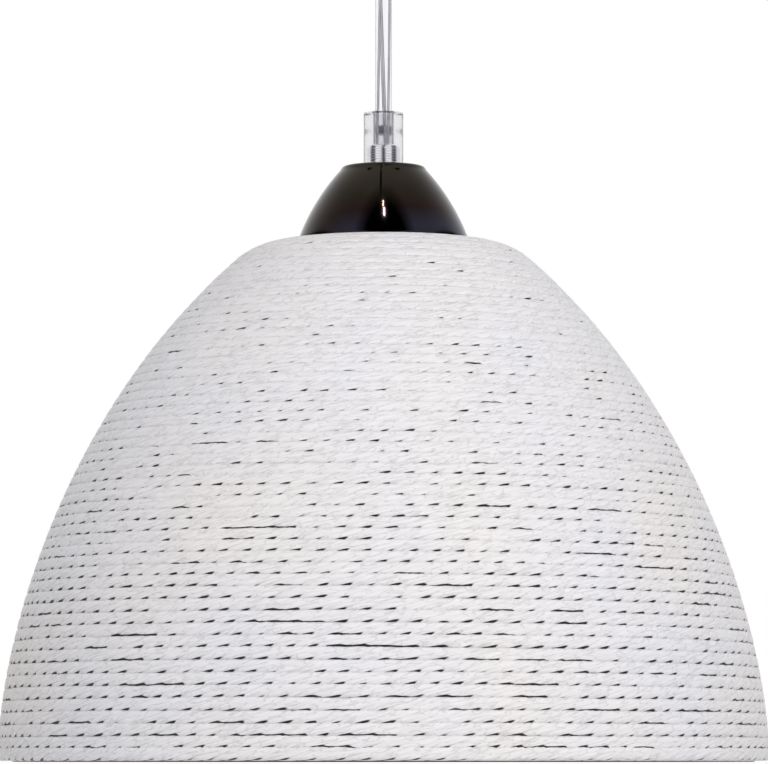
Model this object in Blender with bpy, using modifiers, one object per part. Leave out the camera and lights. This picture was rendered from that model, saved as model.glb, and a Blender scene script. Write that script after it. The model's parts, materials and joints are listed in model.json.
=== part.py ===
"""Pendant light: a dome shade wound from white paper cord, under a dark metal cup, hung by its cable from a canopy.

Metres, +Z up. The origin is on the ceiling, in the middle of the mounting bracket's upper face, and the light hangs
below it. Levels are worked out from the ceiling downwards, from the driving dimensions here.
"""

import math

import bmesh
import bpy
from mathutils import Matrix, Vector

# Fits between neighbouring pieces
CLEARANCE = 0.0003

# Cable: a round sheath over three cores
SHEATH_RADIUS = 0.00325
CORE_RADIUS = 0.00095
FREE_CABLE = 0.0500  # between the two cord grips
CORE_RISE = 0.0120  # straight out of the sheath
CORE_REACH = 0.0225  # straight out of the terminal block
CORE_LEAD = 0.0030  # straight into a holder terminal
CORE_DROP_SHARE = 0.7  # of the fall to a holder terminal, straight down
EARTH_DIP = 0.0058
LINK_REACH = 0.0110
SHEATH_TAIL = 0.0015  # sheath left past the end of each nipple

# Cord grips and the M10 thread that holds them
GRIP_RADIUS = 0.0078
GRIP_LENGTH = 0.0210
GRIP_CHAMFER = 0.0008
GRIP_SCREW_RADIUS = 0.0019
GRIP_SCREW_LEVEL = 0.0145  # above the grip's seat
GRIP_SCREW_PROUD = 0.0008
NIPPLE_RADIUS = 0.0049
NIPPLE_IN_GRIP = 0.0075
LOCKNUT_FLATS = 0.0140
LOCKNUT_THICKNESS = 0.0030
WASHER_RADIUS = 0.0095
WASHER_THICKNESS = 0.0008

# Ceiling canopy, spun from sheet
SHEET = 0.0008
CANOPY_RADIUS = 0.0500
CANOPY_DEPTH = 0.0450
CANOPY_SKIRT = 0.0180  # straight part below the ceiling
CANOPY_FLOOR_RADIUS = 0.0140
CANOPY_SIDE_HANDLE = 0.66  # of the depth below the skirt
CANOPY_FLOOR_HANDLE = 0.55
CEILING_GAP = 0.0005
CANOPY_NIPPLE_TAIL = 0.0023  # nipple past the locknut

# Mounting bracket, bent from strip
BRACKET_WIDTH = 0.0180
BRACKET_THICKNESS = 0.0020
BRACKET_DROP = 0.0140
SLOT_CENTRE = 0.0330
SLOT_LENGTH = 0.0140
SLOT_WIDTH = 0.0050
SIDE_SCREW_RADIUS = 0.0015
SIDE_SCREW_HEAD = 0.0034
SIDE_SCREW_HEAD_HEIGHT = 0.0018
SIDE_SCREW_TAIL = 0.0030  # past the inside of the bracket's leg
EARTH_SCREW_X = 0.0190
EARTH_SCREW_HEAD = 0.0030
EARTH_SCREW_HEAD_HEIGHT = 0.0024

# Terminal block under the bracket
BLOCK_LENGTH = 0.0300
BLOCK_WIDTH = 0.0160
BLOCK_HEIGHT = 0.0120
POLE_PITCH = 0.0090
POLE_DEPTH = 0.0067  # of the wire bores, below the block's top
INSERT_RADIUS = 0.0019
INSERT_LENGTH = 0.0100
CORE_IN_BLOCK = 0.0015
TERMINAL_SCREW_RADIUS = 0.0013
BLOCK_SCREW_RADIUS = 0.0011
BLOCK_SCREW_HEAD = 0.0019
SMALL_HEAD_HEIGHT = 0.0012
HEAD_FLAT = 0.7  # of a screw head's radius
HEAD_SIDE = 0.6  # of a screw head's height

# Lamp cup, a spun bell over the lampholder
CUP_HEIGHT = 0.0299
CUP_FLAT_RADIUS = 0.0150
CUP_EDGE_RADIUS = 0.0170
CUP_EDGE_DROP = 0.0016
CUP_RIM_RADIUS = 0.0335
CUP_TOP_FLARE = 0.0100  # length of the curve's handle below the rounded edge
CUP_TOP_SLOPE = math.radians(47)
CUP_RIM_FLARE = 0.0103  # length of the curve's handle above the rim
CUP_RIM_SLOPE = math.radians(71)
CUP_LIP = 0.0010  # straight edge at the rim

# Lampholder, E27
HOLDER_CAP_RADIUS = 0.0200
HOLDER_CAP_WALL = 0.0020
HOLDER_CAP_CROWN = 0.0125
HOLDER_CAP_SHOULDER = 0.0060
NIPPLE_IN_CAP = 0.0055
BODY_RADIUS = 0.0198
BODY_LENGTH = 0.0335  # below the flange
BODY_WALL = 0.0026
NECK_WALL = 0.0020
NECK_HEIGHT = 0.0054  # threaded neck inside the cap
FLANGE_RADIUS = 0.0260
FLANGE_THICKNESS = 0.0018
BLOCK_FLANGE = 0.0025  # thickness of the contact block's rim
BLOCK_BODY = 0.0040  # contact block below its rim
TERMINAL_SIZE = Vector((0.0050, 0.0060, 0.0045))
TERMINAL_X = 0.0090
EARTH_TERMINAL_SIZE = Vector((0.0050, 0.0045, 0.0050))
EARTH_TERMINAL_Y = 0.0087
HOLDER_SCREW_RADIUS = 0.0011
HOLDER_SCREW_HEAD = 0.0019
CONTACT_RADIUS = 0.0045
CONTACT_THICKNESS = 0.0014
SHELL_WALL = 0.0004
SHELL_LENGTH = 0.0257

# Bulb, E27 and 60 mm across
BULB_LENGTH = 0.1080
GLOBE_RADIUS = 0.0300
BULB_THREAD_RADIUS = 0.0131
BULB_CAP_LENGTH = 0.0270
BULB_TIP_RADIUS = 0.0045
BULB_CAP_CONE = 0.0040
BULB_NECK_HANDLE = 0.4  # of the neck's length
BULB_GLOBE_HANDLE = 0.45

# Shade: the wall of wound cord, measured over its crests
SHADE_RADIUS = 0.1500
SHADE_HEIGHT = 0.2032
CORD_RADIUS = 0.0022
ROW_PITCH = 0.0044
VALLEY_DEPTH = 0.0011
TOP_FLAT_RADIUS = 0.0385
SHOULDER_RADIUS = 0.0592
SHOULDER_DROP = 0.0082
SHOULDER_SLOPE = math.radians(42)
SHOULDER_HANDLE = 0.0080
SIDE_TOP_HANDLE = 0.0949
SIDE_RIM_HANDLE = 0.0367
HOLE_EASE = 0.0014  # of the hole in its top, past the holder's body

# Bands that the wall is made in, parted in the valleys after these shares of its turns
BANDS = {"top": 0.16, "upper": 0.44, "middle": 0.72, "lower": 1.0}

# Gaps left between turns of the cord
GAP_COUNT = 56
GAP_HEIGHT = 0.0007
GAP_TURN = 13  # facets between one gap and the next
GAP_SHORTEST = 0.45  # of a facet's width
GAP_LONGEST = 0.80
GAP_FREE_RIM_ROWS = 5
GAP_ROW_SPAN = 36
GAP_CROWDING = 1.7  # above 1, more of the gaps lie near the rim

# Shade frame, welded from wire
WIRE_RADIUS = 0.0013
RIM_RING_PROUD = 0.0004  # of the lowest turn of cord
RIB_COUNT = 6
PLATE_RADIUS = 0.0340
PLATE_THICKNESS = 0.0012
RING_RADIUS = 0.0270
RING_HEIGHT = 0.0090
RING_FLANGE = 0.0020
RING_BARREL_WALL = 0.0031

# Facets round each kind of piece
SHADE_SECTORS = 30
SHELL_SECTORS = 32
TURNED_SECTORS = 20
ROD_SIDES = 10
PATH_SAMPLES = 240
BAND_POINTS = 5  # on the inner side of each band
SHARP_EDGE = math.radians(35)

# Levels down from the ceiling
CANOPY_FLOOR_Z = -CANOPY_DEPTH
CANOPY_GRIP_Z = CANOPY_FLOOR_Z - CLEARANCE
CANOPY_WASHER_Z = CANOPY_FLOOR_Z + SHEET + CLEARANCE
CANOPY_LOCKNUT_Z = CANOPY_WASHER_Z + WASHER_THICKNESS + CLEARANCE
CANOPY_NIPPLE_TOP_Z = CANOPY_LOCKNUT_Z + LOCKNUT_THICKNESS + CANOPY_NIPPLE_TAIL
SHEATH_TOP_Z = CANOPY_NIPPLE_TOP_Z + SHEATH_TAIL
CUP_TOP_Z = CANOPY_GRIP_Z - GRIP_LENGTH - FREE_CABLE - GRIP_LENGTH - CLEARANCE
CUP_LOCKNUT_Z = CUP_TOP_Z - SHEET - CLEARANCE
HOLDER_TOP_Z = CUP_LOCKNUT_Z - LOCKNUT_THICKNESS - CLEARANCE
NIPPLE_BOTTOM_Z = HOLDER_TOP_Z - NIPPLE_IN_CAP
SHEATH_BOTTOM_Z = NIPPLE_BOTTOM_Z - SHEATH_TAIL
SHADE_TOP_Z = CUP_TOP_Z - CUP_HEIGHT - CLEARANCE
RIM_Z = SHADE_TOP_Z - SHADE_HEIGHT
FLANGE_Z = SHADE_TOP_Z + CLEARANCE
NECK_TOP_Z = FLANGE_Z + FLANGE_THICKNESS + NECK_HEIGHT
CONTACT_BLOCK_Z = NECK_TOP_Z + CLEARANCE
CONTACT_TOP_Z = CONTACT_BLOCK_Z - BLOCK_BODY - CLEARANCE
BULB_TOP_Z = CONTACT_TOP_Z - CONTACT_THICKNESS - CLEARANCE
PLATE_Z = SHADE_TOP_Z - 2 * CORD_RADIUS - CLEARANCE
RING_Z = PLATE_Z - PLATE_THICKNESS - CLEARANCE

# Radii of the holes that those pieces share
CABLE_BORE = SHEATH_RADIUS + CLEARANCE
NIPPLE_HOLE = NIPPLE_RADIUS + CLEARANCE
BODY_HOLE = BODY_RADIUS + CLEARANCE
SHADE_HOLE = BODY_HOLE + HOLE_EASE
CORE_OFFSET = (2 * CORE_RADIUS + CLEARANCE) / math.sqrt(3)
CORE_ANGLES = {"live": math.radians(210), "neutral": math.radians(330), "earth": math.radians(90)}
POLE_X = {"live": -POLE_PITCH, "neutral": POLE_PITCH, "earth": 0.0}
POLE_Z = -BRACKET_THICKNESS - CLEARANCE - POLE_DEPTH

# Finishes: colour, roughness, metallic, transmission
WHITE_CORD = ((0.80, 0.77, 0.79), 0.85, 0.0, 0.0)
DARK_NICKEL = ((0.10, 0.095, 0.095), 0.14, 1.0, 0.0)
BRIGHT_STEEL = ((0.55, 0.55, 0.56), 0.30, 1.0, 0.0)
BRASS = ((0.68, 0.48, 0.20), 0.30, 1.0, 0.0)
CLEAR_PLASTIC = ((0.92, 0.93, 0.95), 0.08, 0.0, 1.0)
BLACK_BAKELITE = ((0.02, 0.02, 0.02), 0.35, 0.0, 0.0)
WHITE_PLASTIC = ((0.80, 0.80, 0.78), 0.45, 0.0, 0.0)
WHITE_CERAMIC = ((0.82, 0.80, 0.74), 0.25, 0.0, 0.0)
BLACK_ENAMEL = ((0.02, 0.02, 0.02), 0.38, 0.0, 0.0)
OPAL_GLASS = ((0.90, 0.90, 0.88), 0.12, 0.0, 0.0)
SILVER_CORE = ((0.42, 0.42, 0.44), 0.40, 0.0, 0.0)


def empty_the_scene():
    for obj in list(bpy.data.objects):
        bpy.data.objects.remove(obj, do_unlink=True)


def new_collection(name):
    collection = bpy.data.collections.new(name)
    bpy.context.scene.collection.children.link(collection)
    return collection


def give_finish(obj, finish):
    """Gives the object a material of its own."""
    colour, roughness, metallic, transmission = finish
    material = bpy.data.materials.new(obj.name)
    material.use_nodes = True
    shader = material.node_tree.nodes["Principled BSDF"]
    shader.inputs["Base Color"].default_value = (*colour, 1.0)
    shader.inputs["Roughness"].default_value = roughness
    shader.inputs["Metallic"].default_value = metallic
    shader.inputs["Transmission Weight"].default_value = transmission
    obj.data.materials.append(material)


def add_part(name, data, finish, place=(0, 0, 0), turn=(0, 0, 0)):
    """Puts a mesh or curve into the light as the sub-part of that name."""
    obj = bpy.data.objects.new(name, data)
    obj.location = place
    obj.rotation_euler = turn
    PARTS.objects.link(obj)
    give_finish(obj, finish)
    return obj


def add_cutter(name, mesh, place=(0, 0, 0)):
    """A shape that only cuts others, and is not rendered."""
    obj = bpy.data.objects.new(name, mesh)
    obj.location = place
    obj.hide_render = True
    obj.display_type = "WIRE"
    CUTTERS.objects.link(obj)
    return obj


def cut(obj, cutter):
    modifier = obj.modifiers.new(cutter.name, "BOOLEAN")
    modifier.operation = "DIFFERENCE"
    modifier.solver = "EXACT"
    modifier.object = cutter


def mesh_from(bm, name):
    mesh = bpy.data.meshes.new(name)
    bm.to_mesh(mesh)
    bm.free()
    return mesh


def bezier(start, handle_a, handle_b, end, count):
    """Points along one cubic curve, in as many dimensions as its four points have."""
    ends = [Vector(point) for point in (start, handle_a, handle_b, end)]
    points = []
    for step in range(count + 1):
        t = step / count
        s = 1 - t
        points.append(ends[0] * s**3 + ends[1] * 3 * s * s * t + ends[2] * 3 * s * t * t + ends[3] * t**3)
    return points


def profile_mesh(name, profile, closed):
    """A mesh of edges at +X, from (radius, height) points that run down the outer side."""
    bm = bmesh.new()
    corners = [bm.verts.new((radius, 0, height)) for radius, height in profile]
    for here, there in zip(corners, corners[1:]):
        bm.edges.new((here, there))
    if closed:
        bm.edges.new((corners[-1], corners[0]))
    return mesh_from(bm, name)


def add_screw(obj, sectors):
    modifier = obj.modifiers.new("Turned", "SCREW")
    modifier.steps = sectors
    modifier.render_steps = sectors
    modifier.use_merge_vertices = True
    modifier.merge_threshold = 0.00001


def turned(name, profile, finish, sectors=TURNED_SECTORS, place=(0, 0, 0), turn=(0, 0, 0)):
    """A solid of revolution. Its profile is closed, or starts and ends on the axis."""
    on_axis = profile[0][0] == 0
    obj = add_part(name, profile_mesh(name, profile, not on_axis), finish, place, turn)
    add_screw(obj, sectors)
    return obj


def spun(name, profile, thickness, finish, sectors=SHELL_SECTORS):
    """A shell of revolution: an open outer profile with its sheet thickness inwards."""
    obj = add_part(name, profile_mesh(name, profile, False), finish)
    add_screw(obj, sectors)
    modifier = obj.modifiers.new("Sheet", "SOLIDIFY")
    modifier.thickness = thickness
    modifier.offset = -1
    modifier.use_even_offset = True
    return obj


def ring_profile(inner, outer, bottom, top):
    return [(outer, top), (outer, bottom), (inner, bottom), (inner, top)]


def rod_mesh(name, radius, start, end, sides=ROD_SIDES):
    """A straight round bar between two points."""
    start = Vector(start)
    end = Vector(end)
    along = end - start
    turn = Vector((0, 0, 1)).rotation_difference(along).to_matrix().to_4x4()
    bm = bmesh.new()
    bmesh.ops.create_cone(
        bm,
        cap_ends=True,
        segments=sides,
        radius1=radius,
        radius2=radius,
        depth=along.length,
        matrix=Matrix.Translation((start + end) / 2) @ turn,
    )
    return mesh_from(bm, name)


def box_mesh(name, size):
    bm = bmesh.new()
    bmesh.ops.create_cube(bm, size=1.0, matrix=Matrix.Diagonal((*size, 1.0)))
    return mesh_from(bm, name)


def headed_screw(name, shank, length, head, head_height, finish, place, direction=(0, 0, 1)):
    """A screw whose head's underside is at its place, with the head towards direction."""
    profile = [
        (0, head_height),
        (head * HEAD_FLAT, head_height),
        (head, head_height * HEAD_SIDE),
        (head, 0),
        (shank, 0),
        (shank, -length),
        (0, -length),
    ]
    obj = turned(name, profile, finish, ROD_SIDES, place)
    obj.rotation_euler = Vector((0, 0, 1)).rotation_difference(Vector(direction)).to_euler()
    return obj


def wire(name, points, radius, finish, resolution=2):
    """A round wire through the points, as a curve with filled ends."""
    curve = bpy.data.curves.new(name, "CURVE")
    curve.dimensions = "3D"
    curve.bevel_depth = radius
    curve.bevel_resolution = resolution
    curve.use_fill_caps = True
    spline = curve.splines.new("POLY")
    spline.points.add(len(points) - 1)
    for spot, point in zip(spline.points, points):
        spot.co = (*point, 1.0)
    return add_part(name, curve, finish)


def locknut(name, top):
    """A hexagonal M10 nut with its upper face at that level."""
    bm = bmesh.new()
    bmesh.ops.create_cone(
        bm,
        cap_ends=True,
        segments=6,
        radius1=LOCKNUT_FLATS / math.sqrt(3),
        radius2=LOCKNUT_FLATS / math.sqrt(3),
        depth=LOCKNUT_THICKNESS,
    )
    nut = add_part(name, mesh_from(bm, name), BRIGHT_STEEL, (0, 0, top - LOCKNUT_THICKNESS / 2))
    reach = LOCKNUT_THICKNESS
    bore = rod_mesh(name + " bore", NIPPLE_HOLE, (0, 0, -reach), (0, 0, reach), TURNED_SECTORS)
    cut(nut, add_cutter(name + " bore", bore, nut.location))


def nipple(name, bottom, top):
    turned(name, ring_profile(CABLE_BORE, NIPPLE_RADIUS, bottom, top), BRIGHT_STEEL)


def cord_grip(name, screw_name, seat, upwards):
    """The clear grip that clamps the cable, standing on its seat or hanging from it, with its screw at the back."""
    stop = NIPPLE_IN_GRIP + CLEARANCE
    profile = [
        (GRIP_RADIUS - GRIP_CHAMFER, GRIP_LENGTH),
        (GRIP_RADIUS, GRIP_LENGTH - GRIP_CHAMFER),
        (GRIP_RADIUS, 0),
        (NIPPLE_HOLE, 0),
        (NIPPLE_HOLE, stop),
        (CABLE_BORE, stop),
        (CABLE_BORE, GRIP_LENGTH),
    ]
    grip = turned(name, profile, CLEAR_PLASTIC, place=(0, 0, seat), turn=(0 if upwards else math.pi, 0, 0))
    level = seat + (GRIP_SCREW_LEVEL if upwards else -GRIP_SCREW_LEVEL)
    tip = SHEATH_RADIUS + CLEARANCE
    head = GRIP_RADIUS + GRIP_SCREW_PROUD
    hole = rod_mesh(name + " hole", GRIP_SCREW_RADIUS + CLEARANCE, (0, tip / 2, level), (0, head + tip, level))
    cut(grip, add_cutter(name + " hole", hole))
    add_part(screw_name, rod_mesh(screw_name, GRIP_SCREW_RADIUS, (0, tip, level), (0, head, level)), CLEAR_PLASTIC)


def mounting_bracket():
    """A strap against the ceiling with a leg bent down at each end. Returns its half length."""
    wall = (CANOPY_RADIUS - SHEET) * math.cos(math.pi / SHELL_SECTORS) - CLEARANCE
    half = math.sqrt(wall**2 - (BRACKET_WIDTH / 2) ** 2)
    inside = half - BRACKET_THICKNESS
    outline = [
        (-half, -BRACKET_DROP),
        (-half, 0),
        (half, 0),
        (half, -BRACKET_DROP),
        (inside, -BRACKET_DROP),
        (inside, -BRACKET_THICKNESS),
        (-inside, -BRACKET_THICKNESS),
        (-inside, -BRACKET_DROP),
    ]
    bm = bmesh.new()
    face = bm.faces.new([bm.verts.new((x, -BRACKET_WIDTH / 2, z)) for x, z in outline])
    swept = bmesh.ops.extrude_face_region(bm, geom=[face])["geom"]
    moved = [item for item in swept if isinstance(item, bmesh.types.BMVert)]
    bmesh.ops.translate(bm, verts=moved, vec=(0, BRACKET_WIDTH, 0))
    bmesh.ops.recalc_face_normals(bm, faces=bm.faces)
    bracket = add_part("mounting_bracket", mesh_from(bm, "mounting_bracket"), BRIGHT_STEEL)
    for side in (-1, 1):
        cut(bracket, slot_cutter(side * SLOT_CENTRE))
        axis_z = -BRACKET_DROP / 2
        leg_hole = rod_mesh(
            "leg hole",
            SIDE_SCREW_RADIUS + CLEARANCE,
            (side * (inside - BRACKET_THICKNESS), 0, axis_z),
            (side * (half + BRACKET_THICKNESS), 0, axis_z),
        )
        cut(bracket, add_cutter("leg hole", leg_hole))
    screw_holes = [(EARTH_SCREW_X, SIDE_SCREW_RADIUS)]
    screw_holes += [(side * POLE_PITCH / 2, BLOCK_SCREW_RADIUS) for side in (-1, 1)]
    for x, radius in screw_holes:
        reach = BRACKET_THICKNESS
        blind = -BRACKET_THICKNESS * 0.25
        hole = rod_mesh("bracket hole", radius + CLEARANCE, (x, 0, -2 * reach), (x, 0, blind))
        cut(bracket, add_cutter("bracket hole", hole))
    return half


def slot_cutter(x):
    """A rounded slot through the strap, for a ceiling screw."""
    straight = SLOT_LENGTH - SLOT_WIDTH
    half = SLOT_WIDTH / 2
    bm = bmesh.new()
    corners = []
    for side in (1, -1):
        for step in range(7):
            angle = math.pi * (step / 6 - 0.5) + (0 if side > 0 else math.pi)
            spot = (side * straight / 2 + half * math.cos(angle), half * math.sin(angle), -BRACKET_THICKNESS)
            corners.append(bm.verts.new(spot))
    face = bm.faces.new(corners)
    swept = bmesh.ops.extrude_face_region(bm, geom=[face])["geom"]
    moved = [item for item in swept if isinstance(item, bmesh.types.BMVert)]
    bmesh.ops.translate(bm, verts=moved, vec=(0, 0, 2 * BRACKET_THICKNESS))
    bmesh.ops.recalc_face_normals(bm, faces=bm.faces)
    return add_cutter("slot", mesh_from(bm, "slot"), (x, 0, -BRACKET_THICKNESS / 2))


def ceiling_canopy(bracket_half):
    """The spun dish that covers the wiring, with a side screw into each leg of the bracket."""
    skirt = [(CANOPY_RADIUS, -CEILING_GAP)]
    depth = CANOPY_DEPTH - CANOPY_SKIRT
    bowl = bezier(
        (CANOPY_RADIUS, -CANOPY_SKIRT),
        (CANOPY_RADIUS, -CANOPY_SKIRT - depth * CANOPY_SIDE_HANDLE),
        (CANOPY_RADIUS - depth * CANOPY_FLOOR_HANDLE, CANOPY_FLOOR_Z),
        (CANOPY_FLOOR_RADIUS, CANOPY_FLOOR_Z),
        7,
    )
    canopy = spun("ceiling_canopy", skirt + bowl + [(NIPPLE_HOLE, CANOPY_FLOOR_Z)], SHEET, DARK_NICKEL)
    level = -BRACKET_DROP / 2
    seat = CANOPY_RADIUS + CLEARANCE
    length = seat - (bracket_half - BRACKET_THICKNESS) + SIDE_SCREW_TAIL
    for name, side in (("left", -1), ("right", 1)):
        hole = rod_mesh(
            "canopy hole",
            SIDE_SCREW_RADIUS + CLEARANCE,
            (side * bracket_half, 0, level),
            (side * (seat + SHEET), 0, level),
        )
        cut(canopy, add_cutter("canopy hole", hole))
        headed_screw(
            "canopy_screw_" + name,
            SIDE_SCREW_RADIUS,
            length,
            SIDE_SCREW_HEAD,
            SIDE_SCREW_HEAD_HEIGHT,
            DARK_NICKEL,
            (side * seat, 0, level),
            (side, 0, 0),
        )


def terminal_block():
    """The three-pole block under the bracket, with its brass inserts and screws."""
    top = -BRACKET_THICKNESS - CLEARANCE
    bottom = top - BLOCK_HEIGHT
    block = add_part(
        "terminal_block",
        box_mesh("terminal_block", (BLOCK_LENGTH, BLOCK_WIDTH, BLOCK_HEIGHT)),
        WHITE_PLASTIC,
        (0, 0, (top + bottom) / 2),
    )
    bore_radius = INSERT_RADIUS + CLEARANCE
    for core, x in POLE_X.items():
        bore = rod_mesh("wire bore", bore_radius, (x, -BLOCK_WIDTH, POLE_Z), (x, BLOCK_WIDTH, POLE_Z))
        cut(block, add_cutter("wire bore", bore))
        well_top = POLE_Z - bore_radius / 2
        well = rod_mesh(
            "screw well", TERMINAL_SCREW_RADIUS + CLEARANCE, (x, 0, bottom - CLEARANCE), (x, 0, well_top)
        )
        cut(block, add_cutter("screw well", well))
        half = INSERT_LENGTH / 2
        insert = rod_mesh("insert", INSERT_RADIUS, (x, -half, POLE_Z), (x, half, POLE_Z))
        add_part("terminal_insert_" + core, insert, BRASS)
        screw = rod_mesh(
            "screw", TERMINAL_SCREW_RADIUS, (x, 0, bottom + CLEARANCE), (x, 0, POLE_Z - bore_radius)
        )
        add_part("terminal_screw_" + core, screw, BRIGHT_STEEL)
    for number, side in ((1, -1), (2, 1)):
        x = side * POLE_PITCH / 2
        hole = rod_mesh("fixing hole", BLOCK_SCREW_RADIUS + CLEARANCE, (x, 0, bottom * 2), (x, 0, 0))
        cut(block, add_cutter("fixing hole", hole))
        headed_screw(
            f"block_screw_{number}",
            BLOCK_SCREW_RADIUS,
            BLOCK_HEIGHT + 2 * CLEARANCE + BRACKET_THICKNESS / 2,
            BLOCK_SCREW_HEAD,
            SMALL_HEAD_HEIGHT,
            BRIGHT_STEEL,
            (x, 0, bottom - CLEARANCE),
            (0, 0, -1),
        )
    headed_screw(
        "earth_screw",
        SIDE_SCREW_RADIUS,
        BRACKET_THICKNESS / 2 + CLEARANCE,
        EARTH_SCREW_HEAD,
        EARTH_SCREW_HEAD_HEIGHT,
        BRASS,
        (EARTH_SCREW_X, 0, top),
        (0, 0, -1),
    )


def core_start(core, level):
    angle = CORE_ANGLES[core]
    return Vector((CORE_OFFSET * math.cos(angle), CORE_OFFSET * math.sin(angle), level))


def canopy_cores():
    """The cores from the sheath's upper end to the terminal block, and the link from its earth pole to the bracket."""
    reach_in = BLOCK_WIDTH / 2 - CORE_IN_BLOCK
    for core, x in POLE_X.items():
        start = core_start(core, SHEATH_TOP_Z + CLEARANCE)
        end = Vector((x, -reach_in, POLE_Z))
        route = bezier(start, start + Vector((0, 0, CORE_RISE)), end - Vector((0, CORE_REACH, 0)), end, 12)
        wire("top_core_" + core, route, CORE_RADIUS, SILVER_CORE, 1)
    start = Vector((POLE_X["earth"], reach_in, POLE_Z))
    head_middle = -BRACKET_THICKNESS - CLEARANCE - EARTH_SCREW_HEAD_HEIGHT / 2
    end = Vector((EARTH_SCREW_X, EARTH_SCREW_HEAD + CLEARANCE, head_middle))
    reach = Vector((0, LINK_REACH, 0))
    route = bezier(start, start + reach, end + reach, end, 9)
    wire("earth_link", route, CORE_RADIUS, SILVER_CORE, 1)


def supply_cord():
    """The cable's sheath, hanging straight from the canopy to the lampholder."""
    length = SHEATH_TOP_Z - SHEATH_BOTTOM_Z
    count = round(length / (5 * SHEATH_RADIUS))
    route = [(0, 0, SHEATH_TOP_Z - length * step / count) for step in range(count + 1)]
    wire("supply_cord", route, SHEATH_RADIUS, CLEAR_PLASTIC, 3)


def lamp_cup():
    """The spun bell over the lampholder, resting on the shade."""
    edge = bezier(
        (CUP_FLAT_RADIUS, CUP_TOP_Z),
        (CUP_EDGE_RADIUS - CUP_EDGE_DROP / 2, CUP_TOP_Z),
        (CUP_EDGE_RADIUS - CUP_EDGE_DROP / 4, CUP_TOP_Z - CUP_EDGE_DROP / 2),
        (CUP_EDGE_RADIUS, CUP_TOP_Z - CUP_EDGE_DROP),
        2,
    )
    top = Vector((CUP_EDGE_RADIUS, CUP_TOP_Z - CUP_EDGE_DROP))
    rim = Vector((CUP_RIM_RADIUS, CUP_TOP_Z - CUP_HEIGHT + CUP_LIP))
    top_handle = CUP_TOP_FLARE * Vector((math.cos(CUP_TOP_SLOPE), -math.sin(CUP_TOP_SLOPE)))
    rim_handle = CUP_RIM_FLARE * Vector((-math.cos(CUP_RIM_SLOPE), math.sin(CUP_RIM_SLOPE)))
    flare = bezier(top, top + top_handle, rim + rim_handle, rim, 6)
    lip = (CUP_RIM_RADIUS, CUP_TOP_Z - CUP_HEIGHT)
    spun("lamp_cup", [(NIPPLE_HOLE, CUP_TOP_Z)] + edge + flare[1:] + [lip], SHEET, DARK_NICKEL)


def lampholder():
    """The E27 holder: cap, body, contact block with its terminals, centre contact and screw shell."""
    shoulder = bezier(
        (HOLDER_CAP_CROWN, HOLDER_TOP_Z),
        (HOLDER_CAP_RADIUS - HOLDER_CAP_SHOULDER / 2, HOLDER_TOP_Z),
        (HOLDER_CAP_RADIUS, HOLDER_TOP_Z - HOLDER_CAP_SHOULDER / 2),
        (HOLDER_CAP_RADIUS, HOLDER_TOP_Z - HOLDER_CAP_SHOULDER),
        3,
    )
    cap_bottom = FLANGE_Z + FLANGE_THICKNESS + CLEARANCE
    cap_profile = [(NIPPLE_HOLE, HOLDER_TOP_Z)] + shoulder + [(HOLDER_CAP_RADIUS, cap_bottom)]
    spun("lampholder_cap", cap_profile, HOLDER_CAP_WALL, BLACK_BAKELITE, TURNED_SECTORS)

    neck = (HOLDER_CAP_RADIUS - HOLDER_CAP_WALL) * math.cos(math.pi / TURNED_SECTORS) - CLEARANCE
    neck_bore = neck - NECK_WALL
    body_bore = BODY_RADIUS - BODY_WALL
    body_bottom = FLANGE_Z - BODY_LENGTH
    body_profile = [
        (neck, NECK_TOP_Z),
        (neck, FLANGE_Z + FLANGE_THICKNESS),
        (FLANGE_RADIUS, FLANGE_Z + FLANGE_THICKNESS),
        (FLANGE_RADIUS, FLANGE_Z),
        (BODY_RADIUS, FLANGE_Z),
        (BODY_RADIUS, body_bottom + BODY_WALL / 2),
        (BODY_RADIUS - BODY_WALL / 3, body_bottom),
        (body_bore, body_bottom),
        (body_bore, FLANGE_Z - FLANGE_THICKNESS),
        (neck_bore, FLANGE_Z),
        (neck_bore, NECK_TOP_Z),
    ]
    turned("lampholder_body", body_profile, BLACK_BAKELITE)

    block_body = neck_bore * math.cos(math.pi / TURNED_SECTORS) - CLEARANCE
    block_top = CONTACT_BLOCK_Z + BLOCK_FLANGE
    block_profile = [
        (0, block_top),
        (neck, block_top),
        (neck, CONTACT_BLOCK_Z),
        (block_body, CONTACT_BLOCK_Z),
        (block_body, CONTACT_BLOCK_Z - BLOCK_BODY),
        (0, CONTACT_BLOCK_Z - BLOCK_BODY),
    ]
    turned("contact_block", block_profile, WHITE_CERAMIC)
    contact_profile = [
        (0, CONTACT_TOP_Z),
        (CONTACT_RADIUS, CONTACT_TOP_Z),
        (CONTACT_RADIUS, CONTACT_TOP_Z - CONTACT_THICKNESS / 2),
        (CONTACT_RADIUS / 2, CONTACT_TOP_Z - CONTACT_THICKNESS),
        (0, CONTACT_TOP_Z - CONTACT_THICKNESS),
    ]
    turned("centre_contact", contact_profile, BRASS)
    shell_inside = (BULB_THREAD_RADIUS + CLEARANCE) / math.cos(math.pi / TURNED_SECTORS)
    shell_profile = ring_profile(shell_inside, shell_inside + SHELL_WALL, CONTACT_TOP_Z - SHELL_LENGTH, CONTACT_TOP_Z)
    turned("screw_shell", shell_profile, BRASS)
    holder_terminals(block_top)


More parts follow.
